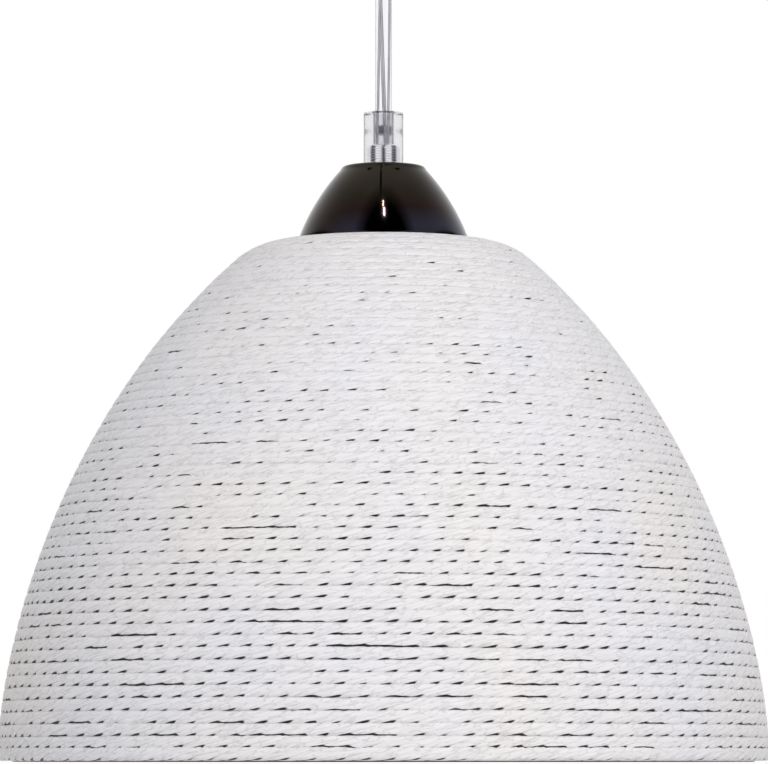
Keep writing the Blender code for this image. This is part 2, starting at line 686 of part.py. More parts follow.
def holder_terminals(block_top):
    """The live and neutral terminals on the contact block, the earth terminal under the cap, and the cores to them."""
    start_level = SHEATH_BOTTOM_Z - CLEARANCE
    middle = block_top + CLEARANCE + TERMINAL_SIZE.z / 2
    for core, side in (("live", -1), ("neutral", 1)):
        name = core + "_terminal"
        place = Vector((side * TERMINAL_X, 0, middle))
        terminal = add_part(name, box_mesh(name, TERMINAL_SIZE), BRASS, place)
        top = middle + TERMINAL_SIZE.z / 2
        hole_end = (place.x, 0, middle)
        hole = rod_mesh(name + " hole", HOLDER_SCREW_RADIUS + CLEARANCE, hole_end, (place.x, 0, top + CLEARANCE))
        cut(terminal, add_cutter(name + " hole", hole))
        headed_screw(
            "holder_screw_" + core,
            HOLDER_SCREW_RADIUS,
            TERMINAL_SIZE.z / 2,
            HOLDER_SCREW_HEAD,
            SMALL_HEAD_HEIGHT,
            BRIGHT_STEEL,
            (place.x, 0, top + CLEARANCE),
        )
        start = core_start(core, start_level)
        end = Vector((place.x - side * (TERMINAL_SIZE.x / 2 + CLEARANCE), 0, middle))
        drop = Vector((0, 0, (end.z - start.z) * CORE_DROP_SHARE))
        route = bezier(start, start + drop, end - Vector((side * CORE_LEAD, 0, 0)), end, 8)
        wire("lamp_core_" + core, route, CORE_RADIUS, SILVER_CORE, 1)
    roof = HOLDER_TOP_Z - HOLDER_CAP_WALL - CLEARANCE
    earth_middle = roof - EARTH_TERMINAL_SIZE.z / 2
    earth_box = box_mesh("earth_terminal", EARTH_TERMINAL_SIZE)
    add_part("earth_terminal", earth_box, BRASS, (0, EARTH_TERMINAL_Y, earth_middle))
    start = core_start("earth", start_level)
    end = Vector((0, EARTH_TERMINAL_Y, roof - EARTH_TERMINAL_SIZE.z - CLEARANCE))
    dip = Vector((0, 0, -EARTH_DIP))
    wire("lamp_core_earth", bezier(start, start + dip, end + dip, end, 8), CORE_RADIUS, SILVER_CORE, 1)


def bulb():
    """The bulb as one sealed solid, from its contact down to the foot of its globe."""
    cap_bottom = BULB_TOP_Z - BULB_CAP_LENGTH
    globe_z = BULB_TOP_Z - BULB_LENGTH + GLOBE_RADIUS
    cap_profile = [
        (0, BULB_TOP_Z),
        (BULB_TIP_RADIUS, BULB_TOP_Z - CONTACT_THICKNESS),
        (BULB_THREAD_RADIUS, BULB_TOP_Z - BULB_CAP_CONE),
        (BULB_THREAD_RADIUS, cap_bottom),
    ]
    neck_length = cap_bottom - globe_z
    neck = bezier(
        (BULB_THREAD_RADIUS, cap_bottom),
        (BULB_THREAD_RADIUS + SHELL_WALL, cap_bottom - neck_length * BULB_NECK_HANDLE),
        (GLOBE_RADIUS, globe_z + neck_length * BULB_GLOBE_HANDLE),
        (GLOBE_RADIUS, globe_z),
        8,
    )
    quarter = [math.pi / 2 * step / 6 for step in range(1, 6)]
    foot = [(GLOBE_RADIUS * math.cos(angle), globe_z - GLOBE_RADIUS * math.sin(angle)) for angle in quarter]
    profile = cap_profile + neck[1:] + foot + [(0, globe_z - GLOBE_RADIUS)]
    turned("bulb", profile, OPAL_GLASS)


def shade_outline():
    """The wall's outer line over the crests of the cord, from the hole in its top to its rim, as (radius, height)."""
    flat_end = Vector((TOP_FLAT_RADIUS, SHADE_TOP_Z))
    shoulder_end = Vector((SHOULDER_RADIUS, SHADE_TOP_Z - SHOULDER_DROP))
    rim = Vector((SHADE_RADIUS, RIM_Z + CORD_RADIUS))
    slope = Vector((math.cos(SHOULDER_SLOPE), -math.sin(SHOULDER_SLOPE)))
    flat = [Vector((SHADE_HOLE + CORD_RADIUS, SHADE_TOP_Z))]
    shoulder = bezier(
        flat_end,
        flat_end + Vector((SHOULDER_HANDLE, 0)),
        shoulder_end - slope * SHOULDER_HANDLE,
        shoulder_end,
        PATH_SAMPLES // 4,
    )
    side = bezier(
        shoulder_end,
        shoulder_end + slope * SIDE_TOP_HANDLE,
        rim + Vector((0, SIDE_RIM_HANDLE)),
        rim,
        PATH_SAMPLES,
    )
    return flat + shoulder + side[1:]


def outline_length(outline):
    return sum((there - here).length for here, there in zip(outline, outline[1:]))


def along_outline(outline, distances):
    """The point and outward normal at each of those rising distances along the outline."""
    found = []
    index = 0
    passed = 0.0
    for wanted in distances:
        step = (outline[index + 1] - outline[index]).length
        while index < len(outline) - 2 and passed + step < wanted:
            passed += step
            index += 1
            step = (outline[index + 1] - outline[index]).length
        along = (outline[index + 1] - outline[index]) / step
        found.append((outline[index] + along * (wanted - passed), Vector((-along.y, along.x))))
    return found


def cord_shade():
    """The wall of cord in bands, a ridge for each turn, with narrow gaps between turns. Returns its inner line."""
    outline = shade_outline()
    length = outline_length(outline)
    turns = round(length / ROW_PITCH)
    pitch = length / turns
    valleys = along_outline(outline, [(row + 0.5) * pitch for row in range(turns)])
    part_rows = [round(turns * share) for share in BANDS.values()]
    gaps = add_cutter("gaps", gap_mesh(valleys, part_rows))
    inner_marks = []
    start = 0.0
    first = 0
    for name, last in zip(BANDS, part_rows):
        end = length if last == turns else (last + 0.5) * pitch - CLEARANCE / 2
        halves = range(first, 2 * last + 1)
        distances = [half * pitch / 2 for half in halves]
        depths = [VALLEY_DEPTH * (half % 2) for half in halves]
        if first > 0:
            distances.insert(0, start)
            depths.insert(0, VALLEY_DEPTH)
        if last < turns:
            distances.append(end)
            depths.append(VALLEY_DEPTH)
        marks = along_outline(outline, distances)
        ridges = [point - normal * depth for (point, normal), depth in zip(marks, depths)]
        step = (end - start) / (BAND_POINTS - 1)
        inside = along_outline(outline, [start + step * number for number in range(BAND_POINTS)])
        inner = [point - normal * 2 * CORD_RADIUS for point, normal in inside]
        foot = [(SHADE_RADIUS - CORD_RADIUS, RIM_Z)] if last == turns else []
        lip = [(SHADE_HOLE, SHADE_TOP_Z - CORD_RADIUS)] if first == 0 else []
        band = turned("cord_shade_" + name, ridges + foot + inner[::-1] + lip, WHITE_CORD, SHADE_SECTORS)
        cut(band, gaps)
        inner_marks += inside if first == 0 else inside[1:]
        start = end + CLEARANCE
        first = 2 * last + 2
    return inner_marks


def gap_mesh(valleys, part_rows):
    """Thin blades, each through one valley and one facet of the wall, more of them towards the rim."""
    sector = 2 * math.pi / SHADE_SECTORS
    bm = bmesh.new()
    for number in range(GAP_COUNT):
        share = (number + 0.5) / GAP_COUNT
        row = len(valleys) - GAP_FREE_RIM_ROWS - round(GAP_ROW_SPAN * share**GAP_CROWDING)
        if row in part_rows:
            row += 1
        angle = sector * ((number * GAP_TURN) % SHADE_SECTORS + 0.5)
        point, normal = valleys[row]
        middle = point - normal * CORD_RADIUS
        facet = 2 * middle.x * math.sin(sector / 2)
        length = facet * (GAP_SHORTEST + (GAP_LONGEST - GAP_SHORTEST) * ((number * 5) % 7) / 6)
        radial = Vector((math.cos(angle), math.sin(angle), 0))
        outward = radial * normal.x + Vector((0, 0, normal.y))
        sideways = Vector((-math.sin(angle), math.cos(angle), 0))
        turn = Matrix((sideways, outward, sideways.cross(outward))).transposed().to_4x4()
        place = Matrix.Translation(radial * middle.x * math.cos(sector / 2) + Vector((0, 0, middle.y)))
        size = Matrix.Diagonal((length, 4 * CORD_RADIUS, GAP_HEIGHT, 1.0))
        bmesh.ops.create_cube(bm, size=1.0, matrix=place @ turn @ size)
    return mesh_from(bm, "gaps")


def shade_frame(inner_marks):
    """The wire frame that the cord is wound on: the plate round the holder, six ribs and the ring at the rim."""
    turned(
        "fitter_plate",
        ring_profile(BODY_HOLE, PLATE_RADIUS, PLATE_Z - PLATE_THICKNESS, PLATE_Z),
        BLACK_ENAMEL,
        SHADE_SECTORS,
    )
    offset = 2 * CORD_RADIUS + CLEARANCE + WIRE_RADIUS
    line = [point - normal * offset for point, normal in inner_marks]
    ring_radius = SHADE_RADIUS - offset
    ring_z = RIM_Z + WIRE_RADIUS - RIM_RING_PROUD
    rib_foot = ring_z + WIRE_RADIUS + CLEARANCE
    rib_top = PLATE_RADIUS + CLEARANCE
    kept = [point for point in line if point.x > rib_top + WIRE_RADIUS and point.y > rib_foot + WIRE_RADIUS]
    route = [Vector((rib_top, SHADE_TOP_Z - offset))] + kept + [Vector((ring_radius, rib_foot))]
    for number in range(RIB_COUNT):
        rib = wire(f"rib_{number + 1}", [(point.x, 0, point.y) for point in route], WIRE_RADIUS, BLACK_ENAMEL, 1)
        rib.rotation_euler.z = 2 * math.pi * number / RIB_COUNT
    sides = [2 * math.pi * step / 6 for step in range(6)]
    hoop = [(ring_radius + WIRE_RADIUS * math.cos(a), ring_z - WIRE_RADIUS * math.sin(a)) for a in sides]
    turned("bottom_ring", hoop, BLACK_ENAMEL, SHADE_SECTORS)


def shade_ring():
    """The threaded ring that clamps the shade's plate under the holder's flange."""
    barrel = BODY_HOLE + RING_BARREL_WALL
    profile = [
        (RING_RADIUS, RING_Z),
        (RING_RADIUS, RING_Z - RING_FLANGE),
        (barrel, RING_Z - 2 * RING_FLANGE),
        (barrel, RING_Z - RING_HEIGHT),
        (BODY_HOLE, RING_Z - RING_HEIGHT),
        (BODY_HOLE, RING_Z),
    ]
    turned("shade_ring", profile, BLACK_BAKELITE)


def settle_meshes():
    """Applies each part's modifiers and shades it smooth between its sharp edges."""
    graph = bpy.context.evaluated_depsgraph_get()
    finished = {}
    for obj in PARTS.objects:
        if obj.type == "MESH":
            finished[obj] = bpy.data.meshes.new_from_object(obj.evaluated_get(graph))
    for obj, mesh in finished.items():
        obj.modifiers.clear()
        obj.data = mesh
        mesh.shade_smooth()
        mesh.set_sharp_from_angle(angle=SHARP_EDGE)


def main():
    half = mounting_bracket()
    ceiling_canopy(half)
    terminal_block()
    nipple("canopy_nipple", CANOPY_GRIP_Z - NIPPLE_IN_GRIP, CANOPY_NIPPLE_TOP_Z)
    cord_grip("canopy_cord_grip", "canopy_grip_screw", CANOPY_GRIP_Z, False)
    washer = ring_profile(NIPPLE_HOLE, WASHER_RADIUS, CANOPY_WASHER_Z, CANOPY_WASHER_Z + WASHER_THICKNESS)
    turned("canopy_washer", washer, BRIGHT_STEEL)
    locknut("canopy_locknut", CANOPY_LOCKNUT_Z + LOCKNUT_THICKNESS)
    canopy_cores()
    supply_cord()
    cord_grip("cord_grip", "grip_screw", CUP_TOP_Z + CLEARANCE, True)
    nipple("threaded_nipple", NIPPLE_BOTTOM_Z, CUP_TOP_Z + CLEARANCE + NIPPLE_IN_GRIP)
    lamp_cup()
    locknut("cup_locknut", CUP_LOCKNUT_Z)
    lampholder()
    bulb()
    shade_frame(cord_shade())
    shade_ring()
    bpy.context.view_layer.update()
    settle_meshes()


empty_the_scene()
PARTS = new_collection("pendant_light")
CUTTERS = new_collection("cutters")
main()
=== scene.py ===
"""Dresses the packed pendant light: wound cord shade, dark metal cup, clear cable and grips, and bulb.

Laid out as a Blender add-on and run as a script.
Lengths are in metres, in the CAD model's frame, whose origin is on the ceiling.
"""

import json
import math

import bpy
import numpy as np
from bpy.props import FloatProperty, FloatVectorProperty, IntProperty, PointerProperty
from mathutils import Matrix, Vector


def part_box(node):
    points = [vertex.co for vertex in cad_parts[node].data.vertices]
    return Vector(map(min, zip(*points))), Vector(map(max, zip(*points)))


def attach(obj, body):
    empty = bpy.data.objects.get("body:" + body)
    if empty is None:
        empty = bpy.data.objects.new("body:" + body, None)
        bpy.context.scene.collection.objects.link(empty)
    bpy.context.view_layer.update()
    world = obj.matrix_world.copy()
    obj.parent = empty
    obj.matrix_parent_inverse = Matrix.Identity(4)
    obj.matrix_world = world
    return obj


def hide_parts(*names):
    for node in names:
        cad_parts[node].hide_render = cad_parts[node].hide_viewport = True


bl_info = {
    "name": "Pendant Light with Wound Cord Shade",
    "version": (1, 0, 0),
    "blender": (4, 5, 0),
    "location": "View3D > Sidebar > Pendant Light",
    "description": "Models and finishes a pendant light over its CAD frame, piece by piece",
    "category": "Object",
}

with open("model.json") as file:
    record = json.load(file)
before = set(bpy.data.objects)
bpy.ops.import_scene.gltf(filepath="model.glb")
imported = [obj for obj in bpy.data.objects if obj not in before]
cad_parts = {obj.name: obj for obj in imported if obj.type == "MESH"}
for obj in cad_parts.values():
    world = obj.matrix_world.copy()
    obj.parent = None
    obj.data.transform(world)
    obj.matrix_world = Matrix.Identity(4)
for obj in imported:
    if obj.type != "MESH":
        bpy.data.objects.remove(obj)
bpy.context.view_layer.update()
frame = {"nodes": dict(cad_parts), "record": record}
NODES = frame["nodes"]
SHADE_NODES = [name for name in NODES if name.startswith("cord_shade")]
CUP_LOW, CUP_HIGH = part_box("lamp_cup")
GRIP_LOW, GRIP_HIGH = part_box("cord_grip")
TOP_GRIP_LOW, TOP_GRIP_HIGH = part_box("canopy_cord_grip")
NIPPLE_LOW, NIPPLE_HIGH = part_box("threaded_nipple")
TOP_NIPPLE_LOW, TOP_NIPPLE_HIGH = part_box("canopy_nipple")
CABLE_LOW, CABLE_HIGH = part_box("supply_cord")
CANOPY_LOW, CANOPY_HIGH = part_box("ceiling_canopy")
BULB_LOW, BULB_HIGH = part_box("bulb")
CORES = ("live", "neutral", "earth")

# The space between pieces that touch, the spun metal's thickness, and the cable's hole in it
CLEARANCE = 0.0003
SHEET = 0.0008
CABLE_HOLE_RADIUS = 0.0052

# The shade's outer line over the crests of its cord, as in the part's source
SHADE_RADIUS = 0.1500
SHADE_TOP_Z = CUP_LOW.z - CLEARANCE
RIM_Z = SHADE_TOP_Z - 0.2032
SHADE_HOLE = 0.0215
TOP_FLAT_RADIUS = 0.0385
SHOULDER_RADIUS = 0.0592
SHOULDER_DROP = 0.0082
SHOULDER_SLOPE = math.radians(42)
SHOULDER_HANDLE = 0.0080
SIDE_TOP_HANDLE = 0.0949
SIDE_RIM_HANDLE = 0.0367
PATH_SAMPLES = 240

# The cup's outer line
CUP_FLAT_RADIUS = 0.0150
CUP_EDGE_RADIUS = 0.0170
CUP_EDGE_DROP = 0.0016
CUP_TOP_FLARE = 0.0100
CUP_TOP_SLOPE = math.radians(47)
CUP_RIM_FLARE = 0.0103
CUP_RIM_SLOPE = math.radians(71)
CUP_LIP = 0.0010

# The canopy's outer line
CANOPY_SKIRT = 0.0180
CANOPY_FLOOR_RADIUS = 0.0140
CANOPY_SIDE_HANDLE = 0.66
CANOPY_FLOOR_HANDLE = 0.55
CEILING_GAP = 0.0005

# The cable's wires: where each starts round the axis, in degrees, how far out they lie, how far inside the
# sheath they end, and the rings and sides of the modelled tubes
WIRE_STARTS = {"live": 252, "neutral": 12, "earth": 132}
WIRE_CIRCLE = 0.0020
WIRE_SETBACK = 0.0004
WIRE_SIDES = 12
SHEATH_SIDES = 40
CABLE_RINGS = 58

# The clear grips: their bore over the nipple with its wider foot, the narrower one over the cable with its
# wider mouth, where the bore narrows, and the worn edges
GRIP_FOOT_RADIUS = 0.0047
GRIP_BORE_RADIUS = 0.0043
GRIP_THROAT_RADIUS = 0.00355
GRIP_MOUTH_RADIUS = 0.0042
GRIP_MOUTH_DEPTH = 0.0005
GRIP_STOP = 0.0078
GRIP_EDGE = 0.0004
GRIP_MOUTH_EDGE = 0.0003

# The nipples: their bore, and one turn of thread as (share of the pitch, share of the depth)
NIPPLE_BORE_RADIUS = 0.00345
THREAD_PITCH = 0.0010
THREAD_DEPTH = 0.0003
THREAD_CORNERS = ((0.08, 1), (0.26, 0), (0.74, 0), (0.92, 1))

# The bulb: its screw cap's length, the glass's neck in the cap, and the cap's profile as (radius, drop)
CAP_LENGTH = 0.0270
NECK_RADIUS = 0.0128
NECK_FLARE_RADIUS = 0.0134
CAP_TOP = ((0, 0), (0.0040, 0), (0.0048, 0.0014), (0.0118, 0.0040))
CAP_RIDGE = ((0.0129, 0), (0.0131, 0.0008), (0.0122, 0.0020), (0.0121, 0.0028))
CAP_RIDGES_START = 0.0050
CAP_RIDGES_END = 0.0052
CAP_RIDGE_PITCH = 0.0036
CAP_SKIRT_RADIUS = 0.0131
CAP_SKIRT = 0.0030
CAP_OVERLAP = 0.0001

# The cord's section: how square it is pressed, how far it spreads over its neighbours outside and inside the
# shade and how fast it changes between them, the slope of its sides where two turns meet, and how far that
# join may move
SQUARENESS = 5.5
OUTER_SPREAD = 0.23
INNER_SPREAD = 0.24
INNER_REACH = 1.2
JOIN_SLOPE = 0.44
JOIN_LIMIT = 0.0012

# Its strands: the points on each, in degrees from the groove, how much of the groove's depth each has on the
# faces and on the sides, and how far the points are drawn to the faces
STRANDS = 5
STRAND_POINTS = (0, 12, 36, 60)
FACE_VALLEY = (1.0, 0.25, 0.0, 0.25)
SIDE_VALLEY = (1.0, 0.60, 0.0, 0.60)
FACE_LAY = 0.17

# The pits at the cord's sides: their depth, how far in they reach, and the share that the upper side has
PIT_DEPTH = 0.30
PIT_REACH = 0.30
UPPER_PIT = 0.2

# Painted shade in the gaps between turns: how far a dash reaches from a strand's groove, in strands, and how
# far a dash and a line reach up from the join, in cord radii; the depths between which they are painted dark;
# and the softer painted shade of the tail that runs up the groove from a dash
DASH_WIDTH = 0.32
DASH_HEIGHT = 0.66
LINE_HEIGHT = 0.32
GAP_EDGE = (0.22, 0.40)
TAIL_WIDTH = 0.08
TAIL_HEIGHT = 1.3
TAIL_SHADE = 0.5

# From the shade's hole (0) to its rim (1): how loosely the turns lie, how tightly the lines between them are
# closed, and how strong the dashes of painted shade and the pits under them are
SLACK = ((0.0, 0.30, 0.60, 0.95, 1.0), (0.35, 0.55, 1.0, 1.0, 0.5))
TIGHTNESS = ((0.0, 0.40, 0.60, 0.80, 1.0), (2.0, 1.1, 0.60, 0.30, 0.25))
DASHES = ((0.0, 0.20, 0.45, 0.70, 1.0), (-0.12, 0.04, 0.34, 0.74, 0.80))

# Unevenness as (size, reach in metres of cord). Shift down the shade and lift off it are in millimetres
SHIFT_DRIFTS = ((0.17, 0.050), (0.09, 0.017))
LIFT_DRIFTS = ((0.045, 0.060), (0.02, 0.012))
MILLIMETRES = 1000
GAP_DRIFT = (1.0, 0.010)
SPREAD_DRIFT = (0.012, 0.011)
TWIST_DRIFT = (0.07, 0.05)
DASH_DRIFT = (0.20, 0.040)
STRAND_DASH_DRIFT = 0.60
FACE_DRIFT = (0.8, 0.006)
FACE_DEPTHS = (0.2, 2.2)
ROUGH_SKIN = 0.0012

# The lines between turns, which are painted shade and also narrow the cord: how softly they open, their
# greatest strength, and how much they narrow the cord
GAP_SOFTNESS = 0.7
GAP_MOST = 0.85
GAP_NARROWS = 0.12

# The last turns lie level, and each steps down to the next in this share of a turn. Their shift fades out
# over the last rows, and the cord's end is tapered to this share
LEVEL_TURNS = 14
STEP_SHARE = 0.12
STEADY_ROWS = 1.5
END_TAPER = 0.12

# The last turn starts this many rows before the end, and blends in over this many. Its painted gap shade is
# weaker, because it has no neighbour below. It lies up against the turn before, so that the frame's ring
# shows
LAST_TURN = 1.1
LAST_TURN_BLEND = 0.2
LAST_TURN_FADE = 0.45
RING_SHOWS = 0.0007

CORD_PIECES = 6

# Painted reflections of the surroundings in the plating's colour, as gains on the metal's colour: at the
# cup's rim, and at two shares of its height
RIM_REFLECTION_GAINS = (0.70, 0.80, 1.60)
MIDDLE_REFLECTION_GAINS = ((0.30, (0.50, 0.36, 0.42)), (0.62, (0.62, 0.58, 0.52)))

# The stage's soft lamps with their places and shares of the power, and what they aim at
SOFT_LAMPS = (
    ("overhead", (0.30, -1.1, 0.9), 0.40),
    ("front", (0.70, -2.6, 0.0), 1.95),
    ("behind", (-0.40, 2.6, 0.2), 1.40),
)
SOFT_LAMP_SIZE = 1.4
SHADE_MIDDLE = (0, 0, -0.27)

# The small lamps that the cup mirrors as its bright streaks, as (name, side, degrees up, width, height)
GLINTS = (
    ("glint", 0.020, 57.3, 0.048, 0.14),
    ("glint_above", -0.010, 62.8, 0.022, 0.10),
)
GLINT_DISTANCE = 1.5
GLINT_POWER = 700
CUP_MIDDLE = (0, 0, -0.155)

# The dark cards, as (name, place, radius, turn in degrees, fully dark share, whether clear pieces show it)
CARDS = (
    ("dark_front", (0.0, -3.6, -0.2), 1.7, (90, 0, 0), 0.3, True),
    ("dark_streak", (-0.07, -0.226, 1.125), 0.34, (10, 0, 0), 0.55, False),
    ("dark_above", (0.1, -1.7, 1.2), 1.7, (50, 0, 0), 0.55, False),
    ("dark_left", (-2.4, 0.5, -0.2), 1.7, (90, 0, 90), 0.55, True),
    ("dark_right", (2.4, 0.5, -0.2), 1.7, (90, 0, 90), 0.55, True),
)
STREAK_WIDTH = 0.10

CAMERA_SIDE = 0.0002
FLOOR_SIZE = 9
FLOOR_FADE = (3.0, 4.4)

MERGE_REACH = 0.000001


def length_setting(name, description, default, precision=4):
    """A setting in metres."""
    return FloatProperty(
        name=name, description=description, default=default, unit="LENGTH", precision=precision
    )


def share_setting(name, description, default, most):
    """A setting from nought to that share."""
    return FloatProperty(
        name=name, description=description, default=default, subtype="FACTOR", min=0.0, max=most
    )


def colour_setting(name, description, default):
    """A setting that is a colour."""
    return FloatVectorProperty(
        name=name, description=description, default=default, subtype="COLOR", size=3
    )


class ShadeCordSettings(bpy.types.PropertyGroup):
    """The paper cord that the shade is wound from."""

    diameter: length_setting("Cord diameter", "Thickness of the paper cord over its strands", 0.0044)
    lay: length_setting("Lay", "Length of cord in which its strands go once round", 0.0440)
    strand_depth: share_setting(
        "Strand depth", "Depth of the grooves on the cord's faces, as a share of its radius", 0.075, 0.3
    )
    looseness: FloatProperty(
        name="Looseness",
        description="How unevenly the turns lie beside each other",
        default=1.0,
        min=0.0,
        max=3.0,
    )
    ring_step: length_setting(
        "Ring step", "Distance along the cord between its modelled cross-sections", 0.00205, 5
    )
    seed: IntProperty(name="Seed", description="Start of the cord's unevenness", default=11)
    colour: colour_setting("Cord colour", "Colour of the paper strands", (0.83, 0.81, 0.83))
    # This colour is painted shade: the near-black that the gaps between turns are painted towards
    gap_shade_colour: colour_setting("Groove colour", "Colour deep between the turns", (0.013, 0.013, 0.010))


class CableSettings(bpy.types.PropertyGroup):
    """The clear cable and its grips."""

    sheath_diameter: length_setting("Sheath diameter", "Outside diameter of the clear cable", 0.0065)
    conductor_diameter: length_setting(
        "Conductor diameter", "Diameter of each tinned conductor in the cable", 0.0009
    )
    twist: length_setting("Twist", "Length in which the conductors go once round", 0.600)
    clear_colour: colour_setting("Plastic colour", "Tint of the cable's clear plastic", (0.955, 0.955, 0.970))
    grip_colour: colour_setting("Grip colour", "Tint of the grips' clear plastic", (0.84, 0.83, 0.86))


class MetalSettings(bpy.types.PropertyGroup):
    """The dark polished metal of the cup and canopy."""

    colour: colour_setting("Metal colour", "Colour of the dark nickel plating", (0.033, 0.028, 0.022))
    roughness: share_setting("Metal roughness", "Blur of the reflections in the plating", 0.06, 1.0)
    segments: IntProperty(
        name="Segments", description="Facets round each spun metal piece", default=112, min=24, max=256
    )


class StageSettings(bpy.types.PropertyGroup):
    """The camera, the lamps and the floor."""

    camera_distance: length_setting("Camera distance", "From the light's axis to the camera", 1.9)
    camera_height: length_setting("Camera height", "Level of the camera, from the ceiling", -0.3705)
    camera_tilt: FloatProperty(
        name="Camera tilt",
        description="Upward tilt of the camera",
        default=math.radians(4.45),
        subtype="ANGLE",
    )
    lens: FloatProperty(name="Lens", description="Focal length in millimetres", default=227.7)
    floor_level: length_setting("Floor level", "Level of the floor, from the ceiling", -2.4)
    daylight: FloatProperty(
        name="Daylight", description="Strength of the even light from all round", default=0.62
    )
    lamp_power: FloatProperty(
        name="Lamp power",
        description="Power that each soft lamp takes its share of",
        default=12.0,
        unit="POWER",
    )


def clear_selection():
    if bpy.context.object and bpy.context.object.mode != "OBJECT":
        bpy.ops.object.mode_set(mode="OBJECT")
    bpy.ops.object.select_all(action="DESELECT")


def bezier(start, handle_a, handle_b, end, count):
    """Points along one cubic curve."""
    ends = [Vector(point) for point in (start, handle_a, handle_b, end)]
    points = []
    for step in range(count + 1):
        t = step / count
        s = 1 - t
        points.append(ends[0] * s**3 + ends[1] * 3 * s * s * t + ends[2] * 3 * s * t * t + ends[3] * t**3)
    return points


def turned_piece(name, outline, segments, smooth_angle=35.0, bevel=0.0):
    """Spins a profile of (radius, height) points, drawn by extruding one corner, round the upright axis."""
    clear_selection()
    bpy.ops.mesh.primitive_plane_add(size=0.002, location=(0, 0, 0))
    piece = bpy.context.object
    piece.name = name
    piece.data.name = name
    closed = outline[0][0] > 0
    points = list(outline) + ([outline[0]] if closed else [])
    bpy.ops.object.mode_set(mode="EDIT")
    bpy.ops.mesh.select_all(action="SELECT")
    bpy.ops.mesh.merge(type="CENTER")
    bpy.ops.transform.translate(value=(points[0][0], 0, points[0][1]))
    for here, there in zip(points, points[1:]):
        move = (there[0] - here[0], 0, there[1] - here[1])
        bpy.ops.mesh.extrude_region_move(TRANSFORM_OT_translate={"value": move})
    bpy.ops.mesh.select_all(action="SELECT")
    bpy.ops.mesh.remove_doubles(threshold=MERGE_REACH)
    bpy.ops.mesh.select_all(action="SELECT")
    bpy.ops.mesh.spin(steps=segments, angle=2 * math.pi, center=(0, 0, 0), axis=(0, 0, 1))
    bpy.ops.mesh.select_all(action="SELECT")
    bpy.ops.mesh.remove_doubles(threshold=MERGE_REACH)
    bpy.ops.mesh.normals_make_consistent(inside=False)
    bpy.ops.object.mode_set(mode="OBJECT")
    if bevel:
        rounding = piece.modifiers.new("Rounded edges", "BEVEL")
        rounding.width = bevel
        rounding.segments = 3
        rounding.limit_method = "ANGLE"
        rounding.angle_limit = math.radians(35)
        bpy.ops.object.modifier_apply(modifier=rounding.name)
    bpy.ops.object.shade_smooth_by_angle(angle=math.radians(smooth_angle))
    return piece


def shell_outline(outer, thickness):
    """The closed profile of a sheet: its outer line, and the same line set in by its thickness."""
    inner = []
    for number, point in enumerate(outer):
        before = outer[max(number - 1, 0)]
        after = outer[min(number + 1, len(outer) - 1)]
        along = (Vector(after) - Vector(before)).normalized()
        inner.append(Vector(point) + thickness * Vector((along.y, -along.x)))
    return [tuple(point) for point in outer] + [tuple(point) for point in inner[::-1]]


def finish_piece(piece, material, slot, *nodes):
    piece.data.materials.clear()
    piece.data.materials.append(material)
    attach(piece, "root")
    if nodes:
        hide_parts(*nodes)


def give_node_finish(name, material):
    """Puts a finish on a CAD node in place of its plain one."""
    node = NODES[name]
    for slot in node.material_slots:
        slot.material = material


def new_material(name, roughness, metallic=0.0):
    """A material with its shader, and the constant values set on the shader's own sockets."""
    material = bpy.data.materials.get(name)
    if material is not None:
        bpy.data.materials.remove(material)
    material = bpy.data.materials.new(name)
    material.use_nodes = True
    shader = material.node_tree.nodes["Principled BSDF"]
    shader.inputs["Roughness"].default_value = roughness
    shader.inputs["Metallic"].default_value = metallic
    return material, shader


def add_node(material, kind, **values):
    """A node in a material or world, with its properties and inputs set. A socket as a value is linked."""
    node = material.node_tree.nodes.new(kind)
    for name, value in values.items():
        if hasattr(node, name):
            setattr(node, name, value)
            continue
        socket = node.inputs[name.replace("_", " ")]
        if isinstance(value, bpy.types.NodeSocket):
            material.node_tree.links.new(value, socket)
        else:
            socket.default_value = value
    return node


def link(material, output, socket):
    material.node_tree.links.new(output, socket)


def stretched_noise(material, vector, stretch, place=(0, 0, 0), **values):
    """Noise at those coordinates, stretched and moved."""
    mapping = add_node(material, "ShaderNodeMapping", Scale=stretch, Location=place)
    link(material, vector, mapping.inputs["Vector"])
    noise = add_node(material, "ShaderNodeTexNoise", **values)
    link(material, mapping.outputs["Vector"], noise.inputs["Vector"])
    return noise.outputs["Fac"]


def object_noise(material, scale, detail=3.0, stretch=(1, 1, 1)):
    """Noise in the piece's own space."""
    place = add_node(material, "ShaderNodeTexCoord").outputs["Object"]
    return stretched_noise(material, place, stretch, Scale=scale, Detail=detail)


def colour_ramp(material, factor, dark, light, low=0.3, high=0.7):
    ramp = add_node(material, "ShaderNodeValToRGB")
    ramp.color_ramp.elements[0].position = low
    ramp.color_ramp.elements[1].position = high
    ramp.color_ramp.elements[0].color = (*dark, 1)
    ramp.color_ramp.elements[1].color = (*light, 1)
    link(material, factor, ramp.inputs["Fac"])
    return ramp.outputs["Color"]


def value_range(material, value, low, high, start=0.0, end=1.0):
    """A value between start and end, brought to between low and high."""
    span = add_node(material, "ShaderNodeMapRange", From_Min=start, From_Max=end, To_Min=low, To_Max=high)
    link(material, value, span.inputs["Value"])
    return span.outputs["Result"]


def falling(material, value, reach):
    """One at nought, falling straight to nought at that reach."""
    return value_range(material, value, 1.0, 0.0, 0.0, reach)


def combined(material, operation, *values):
    """Sockets or numbers joined by one kind of sum."""
    result = values[0]
    for value in values[1:]:
        node = add_node(material, "ShaderNodeMath", operation=operation)
        link(material, result, node.inputs[0])
        if isinstance(value, bpy.types.NodeSocket):
            link(material, value, node.inputs[1])
        else:
            node.inputs[1].default_value = value
        result = node.outputs["Value"]
    return result


def scaled(material, colour, factor):
    """A colour times a value."""
    node = add_node(material, "ShaderNodeVectorMath", operation="SCALE", Scale=factor)
    link(material, colour, node.inputs[0])
    return node.outputs["Vector"]


